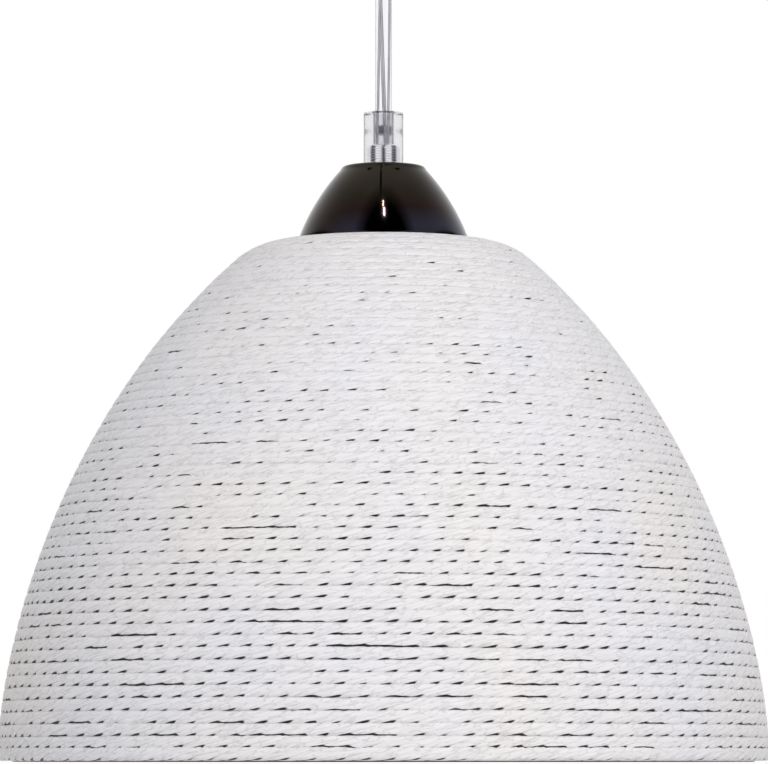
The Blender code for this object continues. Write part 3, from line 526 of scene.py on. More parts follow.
def add_bump(material, shader, height, strength, distance):
    bump = add_node(material, "ShaderNodeBump", Strength=strength, Distance=distance)
    link(material, height, bump.inputs["Height"])
    link(material, bump.outputs["Normal"], shader.inputs["Normal"])


def add_blur(material, shader, noise, roughness, low, high):
    """Lets the roughness drift with the noise, between those shares of its value."""
    blur = value_range(material, noise, roughness * low, roughness * high)
    link(material, blur, shader.inputs["Roughness"])


def metal_finish(name, dark, light, roughness, grain_scale, grain_depth, stretch=(1, 1, 1)):
    """A metal with faint cloudiness and fine polishing marks."""
    material, shader = new_material(name, roughness, 1.0)
    cloud = object_noise(material, 60)
    link(material, colour_ramp(material, cloud, dark, light), shader.inputs["Base Color"])
    add_blur(material, shader, object_noise(material, 220, 4.0), roughness, 0.7, 1.4)
    add_bump(material, shader, object_noise(material, grain_scale, 2.0, stretch), grain_depth, 0.0001)
    return material


def tinted(colour, gains):
    return (*(part * gain for part, gain in zip(colour, gains)), 1)


def plated_finish(name, metal, low, high):
    """A dark mirror plating with painted reflections: its colour drifts in clouds from brown at the top
    through wine to blue below.
    """
    material, shader = new_material(name, metal.roughness, 1.0)
    place = add_node(material, "ShaderNodeTexCoord")
    # Painted reflection: the plating's colour changes with height and to one side, as reflections of the
    # surroundings would
    rise = add_node(material, "ShaderNodeVectorMath", operation="DOT_PRODUCT")
    link(material, place.outputs["Object"], rise.inputs[0])
    rise.inputs[1].default_value = (-7.0, 0.0, 1 / (high - low))
    cloud = value_range(material, object_noise(material, 30), -0.35, 0.35)
    height = combined(material, "ADD", rise.outputs["Value"], cloud, -low / (high - low))
    tint = add_node(material, "ShaderNodeValToRGB")
    stops = tint.color_ramp.elements
    stops[0].color = tinted(metal.colour, RIM_REFLECTION_GAINS)
    stops[1].color = (*metal.colour, 1)
    for spot, gains in MIDDLE_REFLECTION_GAINS:
        stop = stops.new(spot)
        stop.color = tinted(metal.colour, gains)
    link(material, height, tint.inputs["Fac"])
    link(material, tint.outputs["Color"], shader.inputs["Base Color"])
    add_blur(material, shader, object_noise(material, 220, 4.0), metal.roughness, 0.7, 1.4)
    add_bump(material, shader, object_noise(material, 350, 2.0), 0.03, 0.0001)
    return material


def moulded_finish(name, dark, light, roughness, grain=0.05):
    """A moulded, glazed or painted surface with slight mottling and a fine grain."""
    material, shader = new_material(name, roughness)
    mottle = object_noise(material, 90)
    link(material, colour_ramp(material, mottle, dark, light), shader.inputs["Base Color"])
    add_blur(material, shader, object_noise(material, 400), roughness, 0.8, 1.25)
    add_bump(material, shader, object_noise(material, 1500, 2.0), grain, 0.0002)
    return material


def clear_finish(name, colour, roughness, refraction):
    """A clear plastic with faint flow marks."""
    material, shader = new_material(name, roughness)
    shader.inputs["Transmission Weight"].default_value = 1.0
    shader.inputs["IOR"].default_value = refraction
    dim = tuple(part * 0.985 for part in colour)
    flow = object_noise(material, 500, 2.0, (1, 1, 0.15))
    link(material, colour_ramp(material, flow, dim, colour), shader.inputs["Base Color"])
    add_blur(material, shader, flow, roughness, 0.6, 1.6)
    return material


def paint_gap_shade(material, strand_uv):
    """Painted shade in the gaps under a turn, and the softer painted shade where a strand's groove runs up
    from one.
    """
    strand = add_node(material, "ShaderNodeSeparateXYZ")
    link(material, strand_uv, strand.inputs["Vector"])
    strands = combined(material, "MULTIPLY", strand.outputs["Y"], float(STRANDS))
    from_groove = combined(material, "PINGPONG", strands, 0.5)
    rows = add_node(material, "ShaderNodeUVMap", uv_map="Rows")
    row = add_node(material, "ShaderNodeSeparateXYZ")
    link(material, rows.outputs["UV"], row.inputs["Vector"])
    above_join = row.outputs["X"]
    dash = add_node(material, "ShaderNodeAttribute", attribute_name="dash").outputs["Fac"]
    line = add_node(material, "ShaderNodeAttribute", attribute_name="gap").outputs["Fac"]
    near_groove = falling(material, from_groove, DASH_WIDTH)
    lens = combined(material, "MULTIPLY", dash, near_groove, falling(material, above_join, DASH_HEIGHT))
    seam = combined(material, "MULTIPLY", line, falling(material, above_join, LINE_HEIGHT))
    edge = add_node(
        material,
        "ShaderNodeMapRange",
        From_Min=GAP_EDGE[0],
        From_Max=GAP_EDGE[1],
        interpolation_type="SMOOTHSTEP",
    )
    link(material, combined(material, "ADD", lens, seam), edge.inputs["Value"])
    in_groove = falling(material, from_groove, TAIL_WIDTH)
    tail = combined(material, "MULTIPLY", dash, in_groove, falling(material, above_join, TAIL_HEIGHT))
    return edge.outputs["Result"], value_range(material, tail, 1.0, TAIL_SHADE)


def cord_finish(settings):
    """White paper strands with fibres and creases along them, painted shade in the creases and in the gaps
    between turns, and slight changes of tint.
    """
    material, shader = new_material("wound paper cord", 0.62)
    shader.inputs["Sheen Weight"].default_value = 0.12
    shader.inputs["Sheen Roughness"].default_value = 0.5
    shader.inputs["Specular IOR Level"].default_value = 0.35
    strand_uv = add_node(material, "ShaderNodeUVMap", uv_map="Strands").outputs["UV"]
    fibres = stretched_noise(material, strand_uv, (90.0, 15.0, 1.0), Scale=1.0, Detail=3.0, Roughness=0.65)
    folds = stretched_noise(
        material,
        strand_uv,
        (110.0, 6.0, 1.0),
        (0.3, 0.7, 0.0),
        Scale=1.0,
        Detail=2.0,
        Roughness=0.5,
        Distortion=0.4,
    )
    # Painted shade: thin crease lines along the strands are darkened, and the same lines feed the bump
    off_crease = add_node(material, "ShaderNodeMath", operation="ABSOLUTE")
    link(material, combined(material, "SUBTRACT", folds, 0.5), off_crease.inputs[0])
    painted_crease_shade = value_range(material, off_crease.outputs["Value"], 0.80, 1.0, 0.0, 0.035)
    streaks = combined(material, "MULTIPLY", value_range(material, fibres, 0.80, 1.18), painted_crease_shade)
    colour = Vector(settings.colour)
    warm = tuple(colour * 0.985 + Vector((0.012, 0.002, -0.020)))
    cool = tuple(colour * 0.985 + Vector((-0.010, -0.002, 0.014)))
    base = colour_ramp(material, object_noise(material, 14, 2.0), warm, cool, 0.35, 0.65)
    # Painted shade: the gaps between turns are mixed towards the near-black gap colour, and the grooves'
    # tails darkened
    dark, tail = paint_gap_shade(material, strand_uv)
    mix = add_node(material, "ShaderNodeMix", data_type="RGBA")
    link(material, dark, mix.inputs["Factor"])
    link(material, scaled(material, scaled(material, base, streaks), tail), mix.inputs[6])
    mix.inputs[7].default_value = (*settings.gap_shade_colour, 1)
    link(material, mix.outputs[2], shader.inputs["Base Color"])
    link(material, value_range(material, fibres, 0.52, 0.72), shader.inputs["Roughness"])
    add_bump(material, shader, streaks, 0.5, 0.0004)
    return material


def shade_line(cord_radius):
    """From the shade's hole to its rim, as (radius, height): the cord's middle, and the outward normal."""
    flat_end = Vector((TOP_FLAT_RADIUS, SHADE_TOP_Z))
    shoulder_end = Vector((SHOULDER_RADIUS, SHADE_TOP_Z - SHOULDER_DROP))
    rim = Vector((SHADE_RADIUS, RIM_Z + cord_radius))
    slope = Vector((math.cos(SHOULDER_SLOPE), -math.sin(SHOULDER_SLOPE)))
    shoulder = bezier(
        flat_end,
        flat_end + Vector((SHOULDER_HANDLE, 0)),
        shoulder_end - slope * SHOULDER_HANDLE,
        shoulder_end,
        PATH_SAMPLES // 4,
    )
    side = bezier(
        shoulder_end,
        shoulder_end + slope * SIDE_TOP_HANDLE,
        rim + Vector((0, SIDE_RIM_HANDLE)),
        rim,
        PATH_SAMPLES,
    )
    outline = np.array([Vector((SHADE_HOLE + cord_radius, SHADE_TOP_Z))] + shoulder + side[1:])
    steps = np.diff(outline, axis=0)
    steps /= np.linalg.norm(steps, axis=1)[:, None]
    along = np.vstack([steps[:1], steps[1:] + steps[:-1], steps[-1:]])
    along /= np.linalg.norm(along, axis=1)[:, None]
    normal = np.stack([-along[:, 1], along[:, 0]], axis=1)
    return outline - normal * cord_radius, normal


def eased(share):
    share = np.clip(share, 0.0, 1.0)
    return share * share * (3 - 2 * share)


def travelled(points):
    """How far along a line each of its points lies."""
    return np.concatenate([[0.0], np.cumsum(np.linalg.norm(np.diff(points, axis=0), axis=1))])


def pressed_outline(settings, facing, across, spread):
    """From the cord's middle to its outline, pressed square by its neighbours, all round each ring."""
    inner = np.clip(0.5 - INNER_REACH * facing, 0.0, 1.0)
    widening = spread[:, None] + (INNER_SPREAD - spread[:, None]) * inner
    half_width = settings.diameter / 2 * (1 + widening)
    half_depth = settings.diameter / 2
    sides = np.abs(across / half_width) ** SQUARENESS + np.abs(facing / half_depth) ** SQUARENESS
    return sides ** (-1 / SQUARENESS)


def groove_depth(facing, across, face_depth, side_depth):
    """Depth of the grooves between strands, as a share: faint on the faces, and a pit at the lower side."""
    side = np.where(facing > 0, across**2, np.clip(1 - (facing / PIT_REACH) ** 2, 0.0, 1.0))
    lower = np.where(across < 0, 1.0, UPPER_PIT)
    face = face_depth * np.tile(FACE_VALLEY, STRANDS)[::-1]
    return face + (side_depth[:, None] * lower * np.tile(SIDE_VALLEY, STRANDS)[::-1] - face) * side


def tube_mesh(name, rings):
    """A closed tube from rings of points, with the point of each loop and the number of its side faces."""
    count, sides, _ = rings.shape
    corners = np.vstack([rings.reshape(-1, 3), rings[0].mean(axis=0), rings[-1].mean(axis=0)])
    ring = np.arange(count - 1)[:, None] * sides
    side = np.arange(sides)
    after = (side + 1) % sides
    beyond = ring + sides
    quads = np.stack([ring + side, ring + after, beyond + after, beyond + side], axis=2).reshape(-1, 4)
    middle = np.full(sides, count * sides)
    last_ring = (count - 1) * sides
    start = np.stack([middle, after, side], axis=1)
    end = np.stack([middle + 1, last_ring + side, last_ring + after], axis=1)
    loops = np.concatenate([quads.ravel(), start.ravel(), end.ravel()])
    faces = len(quads) + 2 * sides
    starts = np.concatenate([np.arange(len(quads)) * 4, len(quads) * 4 + np.arange(2 * sides) * 3])
    mesh = bpy.data.meshes.new(name)
    mesh.vertices.add(len(corners))
    mesh.vertices.foreach_set("co", corners.astype(np.float32).ravel())
    mesh.loops.add(len(loops))
    mesh.loops.foreach_set("vertex_index", loops.astype(np.int32))
    mesh.polygons.add(faces)
    mesh.polygons.foreach_set("loop_start", starts.astype(np.int32))
    mesh.update(calc_edges=True)
    mesh.shade_smooth()
    flat = mesh.attributes.new("sharp_face", "BOOLEAN", "FACE")
    flat.data.foreach_set("value", np.arange(faces) >= len(quads))
    return mesh, loops, len(quads)


def add_object(name, mesh):
    piece = bpy.data.objects.new(name, mesh)
    bpy.context.scene.collection.objects.link(piece)
    return piece


def round_tube(name, path, radius, sides):
    """A tube of level rings along an upright path."""
    around = np.arange(sides) * 2 * math.pi / sides
    rings = np.repeat(path[:, None, :], sides, axis=1)
    rings[:, :, 0] += radius * np.cos(around)
    rings[:, :, 1] -= radius * np.sin(around)
    return add_object(name, tube_mesh(name, rings)[0])


class WoundCord:
    """The shade's one long cord, as arrays with an entry for each of its rings of points."""

    def __init__(self, settings):
        self.settings = settings
        self.generator = np.random.default_rng(settings.seed)
        self.line, self.line_normal = shade_line(settings.diameter / 2)
        self.down = travelled(self.line)
        self.wind()
        self.vary()
        self.lay_on_shade()
        self.shape_rings()
        self.find_joins()
        self.find_normals()

    def wind(self):
        """Goes round and down the shade, and spaces the rings evenly along the cord."""
        turns = round(self.down[-1] / self.settings.diameter)
        pitch = self.down[-1] / turns
        progress = np.linspace(0.0, turns + STEP_SHARE, turns * 360)
        turn = np.minimum(progress.astype(int), turns)
        share = progress - turn
        level = np.clip(1 - (turns - 1 - turn) / LEVEL_TURNS, 0.0, 1.0)
        distance = pitch * (turn + (1 - level) * share + level * eased(share / STEP_SHARE))
        distance = np.minimum(distance, self.down[-1])
        angle = math.pi / 2 + 2 * math.pi * progress
        radius = np.interp(distance, self.down, self.line[:, 0])
        height = np.interp(distance, self.down, self.line[:, 1])
        length = travelled(np.stack([radius * np.cos(angle), radius * np.sin(angle), height], axis=1))
        self.places = np.linspace(0.0, length[-1], int(length[-1] / self.settings.ring_step))
        self.progress = np.interp(self.places, length, progress)
        self.angle = math.pi / 2 + 2 * math.pi * self.progress
        self.down_at = np.interp(self.places, length, distance)
        self.rows_left = turns - self.progress

    def drift(self, size, reach):
        """Smooth unevenness of about that size either way, changing over that reach of cord.

        Each call draws from the same generator, so the order of the calls is part of the shade's look.
        """
        knots = self.generator.normal(0.0, 0.6, int(self.places[-1] / reach) + 3)
        spot = self.places / reach
        index = spot.astype(int)
        share = eased(spot - index)
        return size * (knots[index] * (1 - share) + knots[index + 1] * share)

    def vary(self):
        """How far the turns lie off their line, how the strands go round, and how strong the gaps and their
        painted shade are.
        """
        settings = self.settings
        loose = settings.looseness
        share = self.down_at / self.down[-1]
        last_turn = np.clip((LAST_TURN - self.rows_left) / LAST_TURN_BLEND, 0.0, 1.0)
        slack = loose * np.interp(share, *SLACK)
        self.shift = slack * sum(self.drift(*part) for part in SHIFT_DRIFTS) / MILLIMETRES
        self.lift = loose * sum(self.drift(*part) for part in LIFT_DRIFTS) / MILLIMETRES
        self.shift *= np.clip(self.rows_left / STEADY_ROWS, 0.0, 1.0)
        self.shift -= RING_SHOWS * last_turn
        opening = (self.drift(*GAP_DRIFT) - np.interp(share, *TIGHTNESS)) / GAP_SOFTNESS
        self.gap = loose * np.clip(opening, 0.0, GAP_MOST) * (1 - last_turn)
        self.spread = OUTER_SPREAD + self.drift(*SPREAD_DRIFT) - GAP_NARROWS * self.gap
        self.twist = 2 * math.pi * (self.places / settings.lay + self.drift(*TWIST_DRIFT))
        dash = np.interp(share, *DASHES) + self.drift(STRAND_DASH_DRIFT, settings.lay / STRANDS)
        dash += self.drift(*DASH_DRIFT)
        self.dash = loose * np.clip(dash, 0.0, 1.0) * (1 - LAST_TURN_FADE * last_turn)
        self.face_depth = settings.strand_depth * np.clip(1 + self.drift(*FACE_DRIFT), *FACE_DEPTHS)

    def lay_on_shade(self):
        """The cord's path, with the directions outward and up the shade that its rings are set by."""
        away = self.down_at + self.shift
        radius = np.interp(away, self.down, self.line[:, 0])
        height = np.interp(away, self.down, self.line[:, 1])
        out_r = np.interp(away, self.down, self.line_normal[:, 0])
        out_z = np.interp(away, self.down, self.line_normal[:, 1])
        radius += out_r * self.lift
        height += out_z * self.lift
        x_share = np.cos(self.angle)
        y_share = np.sin(self.angle)
        self.path = np.stack([radius * x_share, radius * y_share, height], axis=1)
        up_shade = np.stack([-out_z * x_share, -out_z * y_share, out_r], axis=1)
        outward = np.stack([out_r * x_share, out_r * y_share, out_z], axis=1)
        tangent = np.gradient(self.path, axis=0)
        tangent /= np.linalg.norm(tangent, axis=1)[:, None]
        outward -= tangent * np.sum(outward * tangent, axis=1)[:, None]
        outward /= np.linalg.norm(outward, axis=1)[:, None]
        upward = np.cross(outward, tangent)
        upside_down = np.sum(upward * up_shade, axis=1) < 0
        upward[upside_down] *= -1
        self.outward = outward
        self.upward = upward

    def shape_rings(self):
        """The rings of points, with the strands' grooves and the tapered end."""
        strand_angle = 360 / STRANDS
        corners = [strand_angle * strand + point for strand in range(STRANDS) for point in STRAND_POINTS]
        self.corners = np.radians(corners)[::-1]
        turned = self.corners[None, :] + self.twist[:, None]
        turned -= FACE_LAY * np.sin(2 * turned)
        facing = np.cos(turned)
        self.across = np.sin(turned)
        outline = pressed_outline(self.settings, facing, self.across, self.spread)
        depth = groove_depth(facing, self.across, self.face_depth[:, None], PIT_DEPTH * self.dash)
        taper = np.maximum(1 - eased(-self.rows_left / STEP_SHARE), END_TAPER)
        self.path[:, 2] -= self.settings.diameter / 2 * (1 - taper)
        skin = 1 + ROUGH_SKIN * self.generator.normal(0.0, 1.0, outline.shape)
        self.reach = outline * (1 - depth) * skin * taper[:, None]
        direction = facing[:, :, None] * self.outward[:, None, :]
        direction = direction + self.across[:, :, None] * self.upward[:, None, :]
        self.rings = self.path[:, None, :] + self.reach[:, :, None] * direction

    def find_joins(self):
        """How far each point lies above the join with the turn below, in cord radii."""
        below = np.interp(self.progress + 1, self.progress, self.shift) - self.shift
        prouder = np.interp(self.progress + 1, self.progress, self.lift) - self.lift
        join = np.clip(below - prouder / JOIN_SLOPE, -JOIN_LIMIT, JOIN_LIMIT) / self.settings.diameter
        self.above_join = 1 + self.reach * self.across / (self.settings.diameter / 2) + join[:, None]

    def find_normals(self):
        """The outward normal at each point, from its neighbours on the whole cord."""
        around = np.roll(self.rings, -1, axis=1) - np.roll(self.rings, 1, axis=1)
        normals = np.cross(around, np.gradient(self.rings, axis=0))
        normals /= np.linalg.norm(normals, axis=2)[:, :, None]
        inward = np.sum(normals * (self.rings - self.path[:, None, :]), axis=2).mean() < 0
        self.normals = -normals if inward else normals

    def add_map(self, mesh, name, uv):
        layer = mesh.uv_layers.new(name=name)
        layer.data.foreach_set("uv", uv.astype(np.float32).ravel())

    def part_mesh(self, name, first, last):
        """The rings from first to before last as a closed mesh, with the maps and painted-shade strengths for
        its material.
        """
        mesh, loops, quads = tube_mesh(name, self.rings[first:last])
        sides = len(self.corners)
        along = np.repeat(self.places[first:last], sides)
        along = np.append(along, [self.places[first], self.places[last - 1]])
        around = np.append(np.tile(self.corners / (2 * math.pi), last - first), [0.5, 0.5])
        uv = np.stack([along[loops], around[loops]], axis=1)
        face_uv = uv[: quads * 4].reshape(-1, 4, 2)
        seam = (face_uv[:, :, 1].max(axis=1) - face_uv[:, :, 1].min(axis=1)) > 0.5
        wrapped = face_uv[seam, :, 1]
        wrapped[wrapped < 0.5] += 1.0
        face_uv[seam, :, 1] = wrapped
        uv[: quads * 4] = face_uv.reshape(-1, 2)
        self.add_map(mesh, "Strands", uv)
        up = np.append(self.above_join[first:last].ravel(), [1.0, 1.0])[loops]
        self.add_map(mesh, "Rows", np.stack([up, np.zeros(len(up))], axis=1))
        # How strongly each ring's dashes and lines of painted shade show, for the material to read
        for label, strength in (("dash", self.dash), ("gap", self.gap)):
            values = np.append(np.repeat(strength[first:last], sides), [0.0, 0.0])
            mark = mesh.attributes.new(label, "FLOAT", "POINT")
            mark.data.foreach_set("value", values.astype(np.float32))
        ends = [self.path[first] - self.path[first + 1], self.path[last - 1] - self.path[last - 2]]
        normals = np.vstack([self.normals[first:last].reshape(-1, 3), ends])
        mesh.normals_split_custom_set_from_vertices(normals.tolist())
        return mesh


class PENDANT_OT_supply_cord(bpy.types.Operator):
    """Model the clear cable with its three twisted conductors"""

    bl_idname = "pendant.supply_cord"
    bl_label = "Supply Cord"

    def execute(self, context):
        settings = context.scene.pendant_cable
        levels = np.linspace(CABLE_HIGH.z, CABLE_LOW.z, CABLE_RINGS)
        middle = np.stack([0 * levels, 0 * levels, levels], axis=1)
        sheath = round_tube("cable_sheath", middle, settings.sheath_diameter / 2, SHEATH_SIDES)
        clear = clear_finish("clear cable sheath", tuple(settings.clear_colour), 0.03, 1.36)
        finish_piece(sheath, clear, "clear_sheath", "supply_cord")
        drawn = (1, 1, 0.2)
        tinned = metal_finish(
            "tinned conductor", (0.60, 0.60, 0.63), (0.80, 0.80, 0.82), 0.35, 900, 0.4, drawn
        )
        silver = metal_finish("silver core", (0.40, 0.40, 0.42), (0.56, 0.56, 0.58), 0.42, 900, 0.3, drawn)
        for core in CORES:
            turn = math.radians(WIRE_STARTS[core]) + 2 * math.pi * (levels - CABLE_HIGH.z) / settings.twist
            wire = np.stack([WIRE_CIRCLE * np.cos(turn), WIRE_CIRCLE * np.sin(turn), levels], axis=1)
            wire[0, 2] -= WIRE_SETBACK
            wire[-1, 2] += WIRE_SETBACK
            piece = round_tube("conductor_" + core, wire, settings.conductor_diameter / 2, WIRE_SIDES)
            finish_piece(piece, tinned, "silver_core")
        for name in ("top_core_", "lamp_core_"):
            for core in CORES:
                give_node_finish(name + core, silver)
        return {"FINISHED"}


class PENDANT_OT_cord_grips(bpy.types.Operator):
    """Model the two clear grips that clamp the cable, with their screws"""

    bl_idname = "pendant.cord_grips"
    bl_label = "Cord Grips"

    def execute(self, context):
        settings = context.scene.pendant_cable
        clear = clear_finish("clear grip plastic", tuple(settings.grip_colour), 0.17, 1.34)
        nylon = moulded_finish("pale nylon screw", (0.80, 0.80, 0.82), (0.86, 0.86, 0.88), 0.35, 0.05)
        for name, low, high, upwards in (
            ("cord_grip", GRIP_LOW, GRIP_HIGH, True),
            ("canopy_cord_grip", TOP_GRIP_LOW, TOP_GRIP_HIGH, False),
        ):
            radius = (high.x - low.x) / 2
            length = high.z - low.z
            profile = [
                (GRIP_MOUTH_RADIUS, length),
                (radius - GRIP_MOUTH_EDGE, length),
                (radius, length - GRIP_MOUTH_EDGE),
                (radius, GRIP_EDGE),
                (radius - GRIP_EDGE, 0),
                (GRIP_FOOT_RADIUS, 0),
                (GRIP_BORE_RADIUS, GRIP_EDGE),
                (GRIP_BORE_RADIUS, GRIP_STOP),
                (GRIP_THROAT_RADIUS, GRIP_STOP + GRIP_EDGE),
                (GRIP_THROAT_RADIUS, length - GRIP_MOUTH_DEPTH),
            ]
            if upwards:
                profile = [(spot, low.z + level) for spot, level in profile]
            else:
                profile = [(spot, high.z - level) for spot, level in profile]
            piece = turned_piece(name + "_clear", profile, 96)
            finish_piece(piece, clear, "clear_plastic", name)
        for name in ("grip_screw", "canopy_grip_screw"):
            give_node_finish(name, nylon)
        return {"FINISHED"}


def thread_profile(low, high, inner, outer):
    """A hollow stud's profile, with a ridge for each turn of its thread."""
    turns = int((high - low) / THREAD_PITCH)
    root = outer - THREAD_DEPTH
    points = [(root, low)]
    for number in range(turns):
        level = low + (high - low - turns * THREAD_PITCH) / 2 + number * THREAD_PITCH
        for share, depth in THREAD_CORNERS:
            points.append((outer - depth * THREAD_DEPTH, level + share * THREAD_PITCH))
    return points + [(root, high), (inner, high), (inner, low)]


class PENDANT_OT_nipples(bpy.types.Operator):
    """Model the threaded studs that hold the grips"""

    bl_idname = "pendant.nipples"
    bl_label = "Threaded Nipples"

    def execute(self, context):
        bright = metal_finish("bright threaded steel", (0.84, 0.84, 0.87), (0.94, 0.94, 0.96), 0.08, 700, 0.1)
        for name, low, high in (
            ("threaded_nipple", NIPPLE_LOW, NIPPLE_HIGH),
            ("canopy_nipple", TOP_NIPPLE_LOW, TOP_NIPPLE_HIGH),
        ):
            profile = thread_profile(low.z, high.z, NIPPLE_BORE_RADIUS, high.x)
            piece = turned_piece(name + "_stud", profile, 64, 50.0)
            finish_piece(piece, bright, "steel", name)
        return {"FINISHED"}


class PENDANT_OT_lamp_cup(bpy.types.Operator):
    """Spin the dark metal cup that covers the lampholder"""

    bl_idname = "pendant.lamp_cup"
    bl_label = "Lamp Cup"

    def execute(self, context):
        metal = context.scene.pendant_metal
        edge = bezier(
            (CUP_FLAT_RADIUS, CUP_HIGH.z),
            (CUP_EDGE_RADIUS - CUP_EDGE_DROP / 2, CUP_HIGH.z),
            (CUP_EDGE_RADIUS - CUP_EDGE_DROP / 4, CUP_HIGH.z - CUP_EDGE_DROP / 2),
            (CUP_EDGE_RADIUS, CUP_HIGH.z - CUP_EDGE_DROP),
            6,
        )
        top = Vector((CUP_EDGE_RADIUS, CUP_HIGH.z - CUP_EDGE_DROP))
        rim = Vector((CUP_HIGH.x, CUP_LOW.z + CUP_LIP))
        top_handle = CUP_TOP_FLARE * Vector((math.cos(CUP_TOP_SLOPE), -math.sin(CUP_TOP_SLOPE)))
        rim_handle = CUP_RIM_FLARE * Vector((-math.cos(CUP_RIM_SLOPE), math.sin(CUP_RIM_SLOPE)))
        flare = bezier(top, top + top_handle, rim + rim_handle, rim, 22)
        hole = Vector((CABLE_HOLE_RADIUS, CUP_HIGH.z))
        outer = [hole] + edge + flare[1:] + [Vector((CUP_HIGH.x, CUP_LOW.z))]
        piece = turned_piece("lamp_cup_spun", shell_outline(outer, SHEET), metal.segments, 40.0, 0.00018)
        nickel = plated_finish("dark polished nickel", metal, CUP_LOW.z, CUP_HIGH.z)
        finish_piece(piece, nickel, "dark_nickel", "lamp_cup")
        return {"FINISHED"}


class PENDANT_OT_ceiling_canopy(bpy.types.Operator):
    """Spin the dark metal canopy that covers the wiring at the ceiling"""

    bl_idname = "pendant.ceiling_canopy"
    bl_label = "Ceiling Canopy"

    def execute(self, context):
        metal = context.scene.pendant_metal
        radius = CANOPY_HIGH.x
        depth = CANOPY_HIGH.z - CANOPY_LOW.z + CEILING_GAP - CANOPY_SKIRT
        skirt_end = -CANOPY_SKIRT
        bowl = bezier(
            (radius, skirt_end),
            (radius, skirt_end - depth * CANOPY_SIDE_HANDLE),
            (radius - depth * CANOPY_FLOOR_HANDLE, CANOPY_LOW.z),
            (CANOPY_FLOOR_RADIUS, CANOPY_LOW.z),
            24,
        )
        outer = [Vector((radius, CANOPY_HIGH.z))] + bowl + [Vector((CABLE_HOLE_RADIUS, CANOPY_LOW.z))]
        piece = turned_piece("canopy_spun", shell_outline(outer, SHEET), metal.segments, 40.0, 0.0002)
        nickel = bpy.data.materials["dark polished nickel"]
        finish_piece(piece, nickel, "dark_nickel", "ceiling_canopy")
        piece.visible_glossy = False  # or the cup would mirror it as a black disc
        for name in ("canopy_screw_left", "canopy_screw_right"):
            give_node_finish(name, nickel)
        return {"FINISHED"}


class PENDANT_OT_cord_shade(bpy.types.Operator):
    """Wind the shade from one twisted paper cord"""

    bl_idname = "pendant.cord_shade"
    bl_label = "Cord Shade"

    def execute(self, context):
        settings = context.scene.pendant_shade
        cord = WoundCord(settings)
        paper = cord_finish(settings)
        ends = np.linspace(0, len(cord.places) - 1, CORD_PIECES + 1).astype(int)
        for number in range(CORD_PIECES):
            name = f"wound_cord_{number + 1}"
            piece = add_object(name, cord.part_mesh(name, ends[number], ends[number + 1] + 1))
            finish_piece(piece, paper, "paper_cord", *SHADE_NODES)
        return {"FINISHED"}


class PENDANT_OT_bulb(bpy.types.Operator):
    """Model the opal bulb and its screw cap"""

    bl_idname = "pendant.bulb"
    bl_label = "Bulb"

    def execute(self, context):
        top = BULB_HIGH.z
        foot = BULB_LOW.z
        globe = (BULB_HIGH.x - BULB_LOW.x) / 2
        globe_z = foot + globe
        cap_bottom = top - CAP_LENGTH
        neck_length = cap_bottom - globe_z
        neck = bezier(
            (NECK_RADIUS, cap_bottom),
            (NECK_FLARE_RADIUS, cap_bottom - neck_length * 0.4),
            (globe, globe_z + neck_length * 0.45),
            (globe, globe_z),
            18,
        )
        quarter = [math.pi / 2 * step / 16 for step in range(1, 16)]
        bowl = [(globe * math.cos(turn), globe_z - globe * math.sin(turn)) for turn in quarter]
        profile = [(0, cap_bottom)] + [tuple(point) for point in neck] + bowl + [(0, foot)]
        glass = turned_piece("bulb_globe", profile, 80, 60.0)
        opal, shader = new_material("opal bulb glass", 0.12)
        shader.inputs["Coat Weight"].default_value = 0.6
        shader.inputs["Coat Roughness"].default_value = 0.04
        shader.inputs["Subsurface Weight"].default_value = 0.3
        shader.inputs["Subsurface Scale"].default_value = 0.004
        milk = colour_ramp(opal, object_noise(opal, 30), (0.86, 0.86, 0.84), (0.90, 0.90, 0.88))
        link(opal, milk, shader.inputs["Base Color"])
        finish_piece(glass, opal, "opal_glass", "bulb")
        cap = [(radius, top - drop) for radius, drop in CAP_TOP]
        level = top - CAP_RIDGES_START
        while level > cap_bottom + CAP_RIDGES_END:
            cap += [(radius, level - drop) for radius, drop in CAP_RIDGE]
            level -= CAP_RIDGE_PITCH
        foot_level = cap_bottom + CAP_OVERLAP
        cap += [(CAP_SKIRT_RADIUS, cap_bottom + CAP_SKIRT), (CAP_SKIRT_RADIUS, foot_level), (0, foot_level)]
        base = turned_piece("bulb_cap", cap, 64, 40.0)
        nickel = metal_finish("bulb cap metal", (0.62, 0.60, 0.56), (0.78, 0.76, 0.72), 0.24, 500, 0.2)
        finish_piece(base, nickel, "brass", "bulb")
        return {"FINISHED"}


class PENDANT_OT_fittings(bpy.types.Operator):
    """Finish the CAD pieces that keep their own shape"""

    bl_idname = "pendant.fittings"
    bl_label = "Frame and Fittings"

    def execute(self, context):
        steel = metal_finish("zinc-plated steel", (0.48, 0.48, 0.50), (0.62, 0.62, 0.63), 0.34, 600, 0.3)
        brass = metal_finish("satin brass", (0.62, 0.43, 0.17), (0.74, 0.54, 0.24), 0.30, 600, 0.3)
        enamel = moulded_finish("black powder coat", (0.016, 0.016, 0.016), (0.026, 0.026, 0.025), 0.40, 0.25)
        bakelite = moulded_finish("black bakelite", (0.014, 0.014, 0.014), (0.026, 0.025, 0.024), 0.34, 0.08)
        plastic = moulded_finish("white moulded plastic", (0.76, 0.76, 0.74), (0.82, 0.82, 0.80), 0.45, 0.1)
        ceramic = moulded_finish("glazed ceramic", (0.78, 0.76, 0.70), (0.84, 0.82, 0.76), 0.22, 0.05)
        silver = bpy.data.materials["silver core"]
        by_slot = {
            "steel": steel,
            "brass": brass,
            "black_enamel": enamel,
            "bakelite": bakelite,
            "white_plastic": plastic,
            "ceramic": ceramic,
            "silver_core": silver,
        }
        for part in frame["record"]["subparts"]:
            if part["material_slot"] in by_slot:
                give_node_finish(part["node"], by_slot[part["material_slot"]])
        return {"FINISHED"}


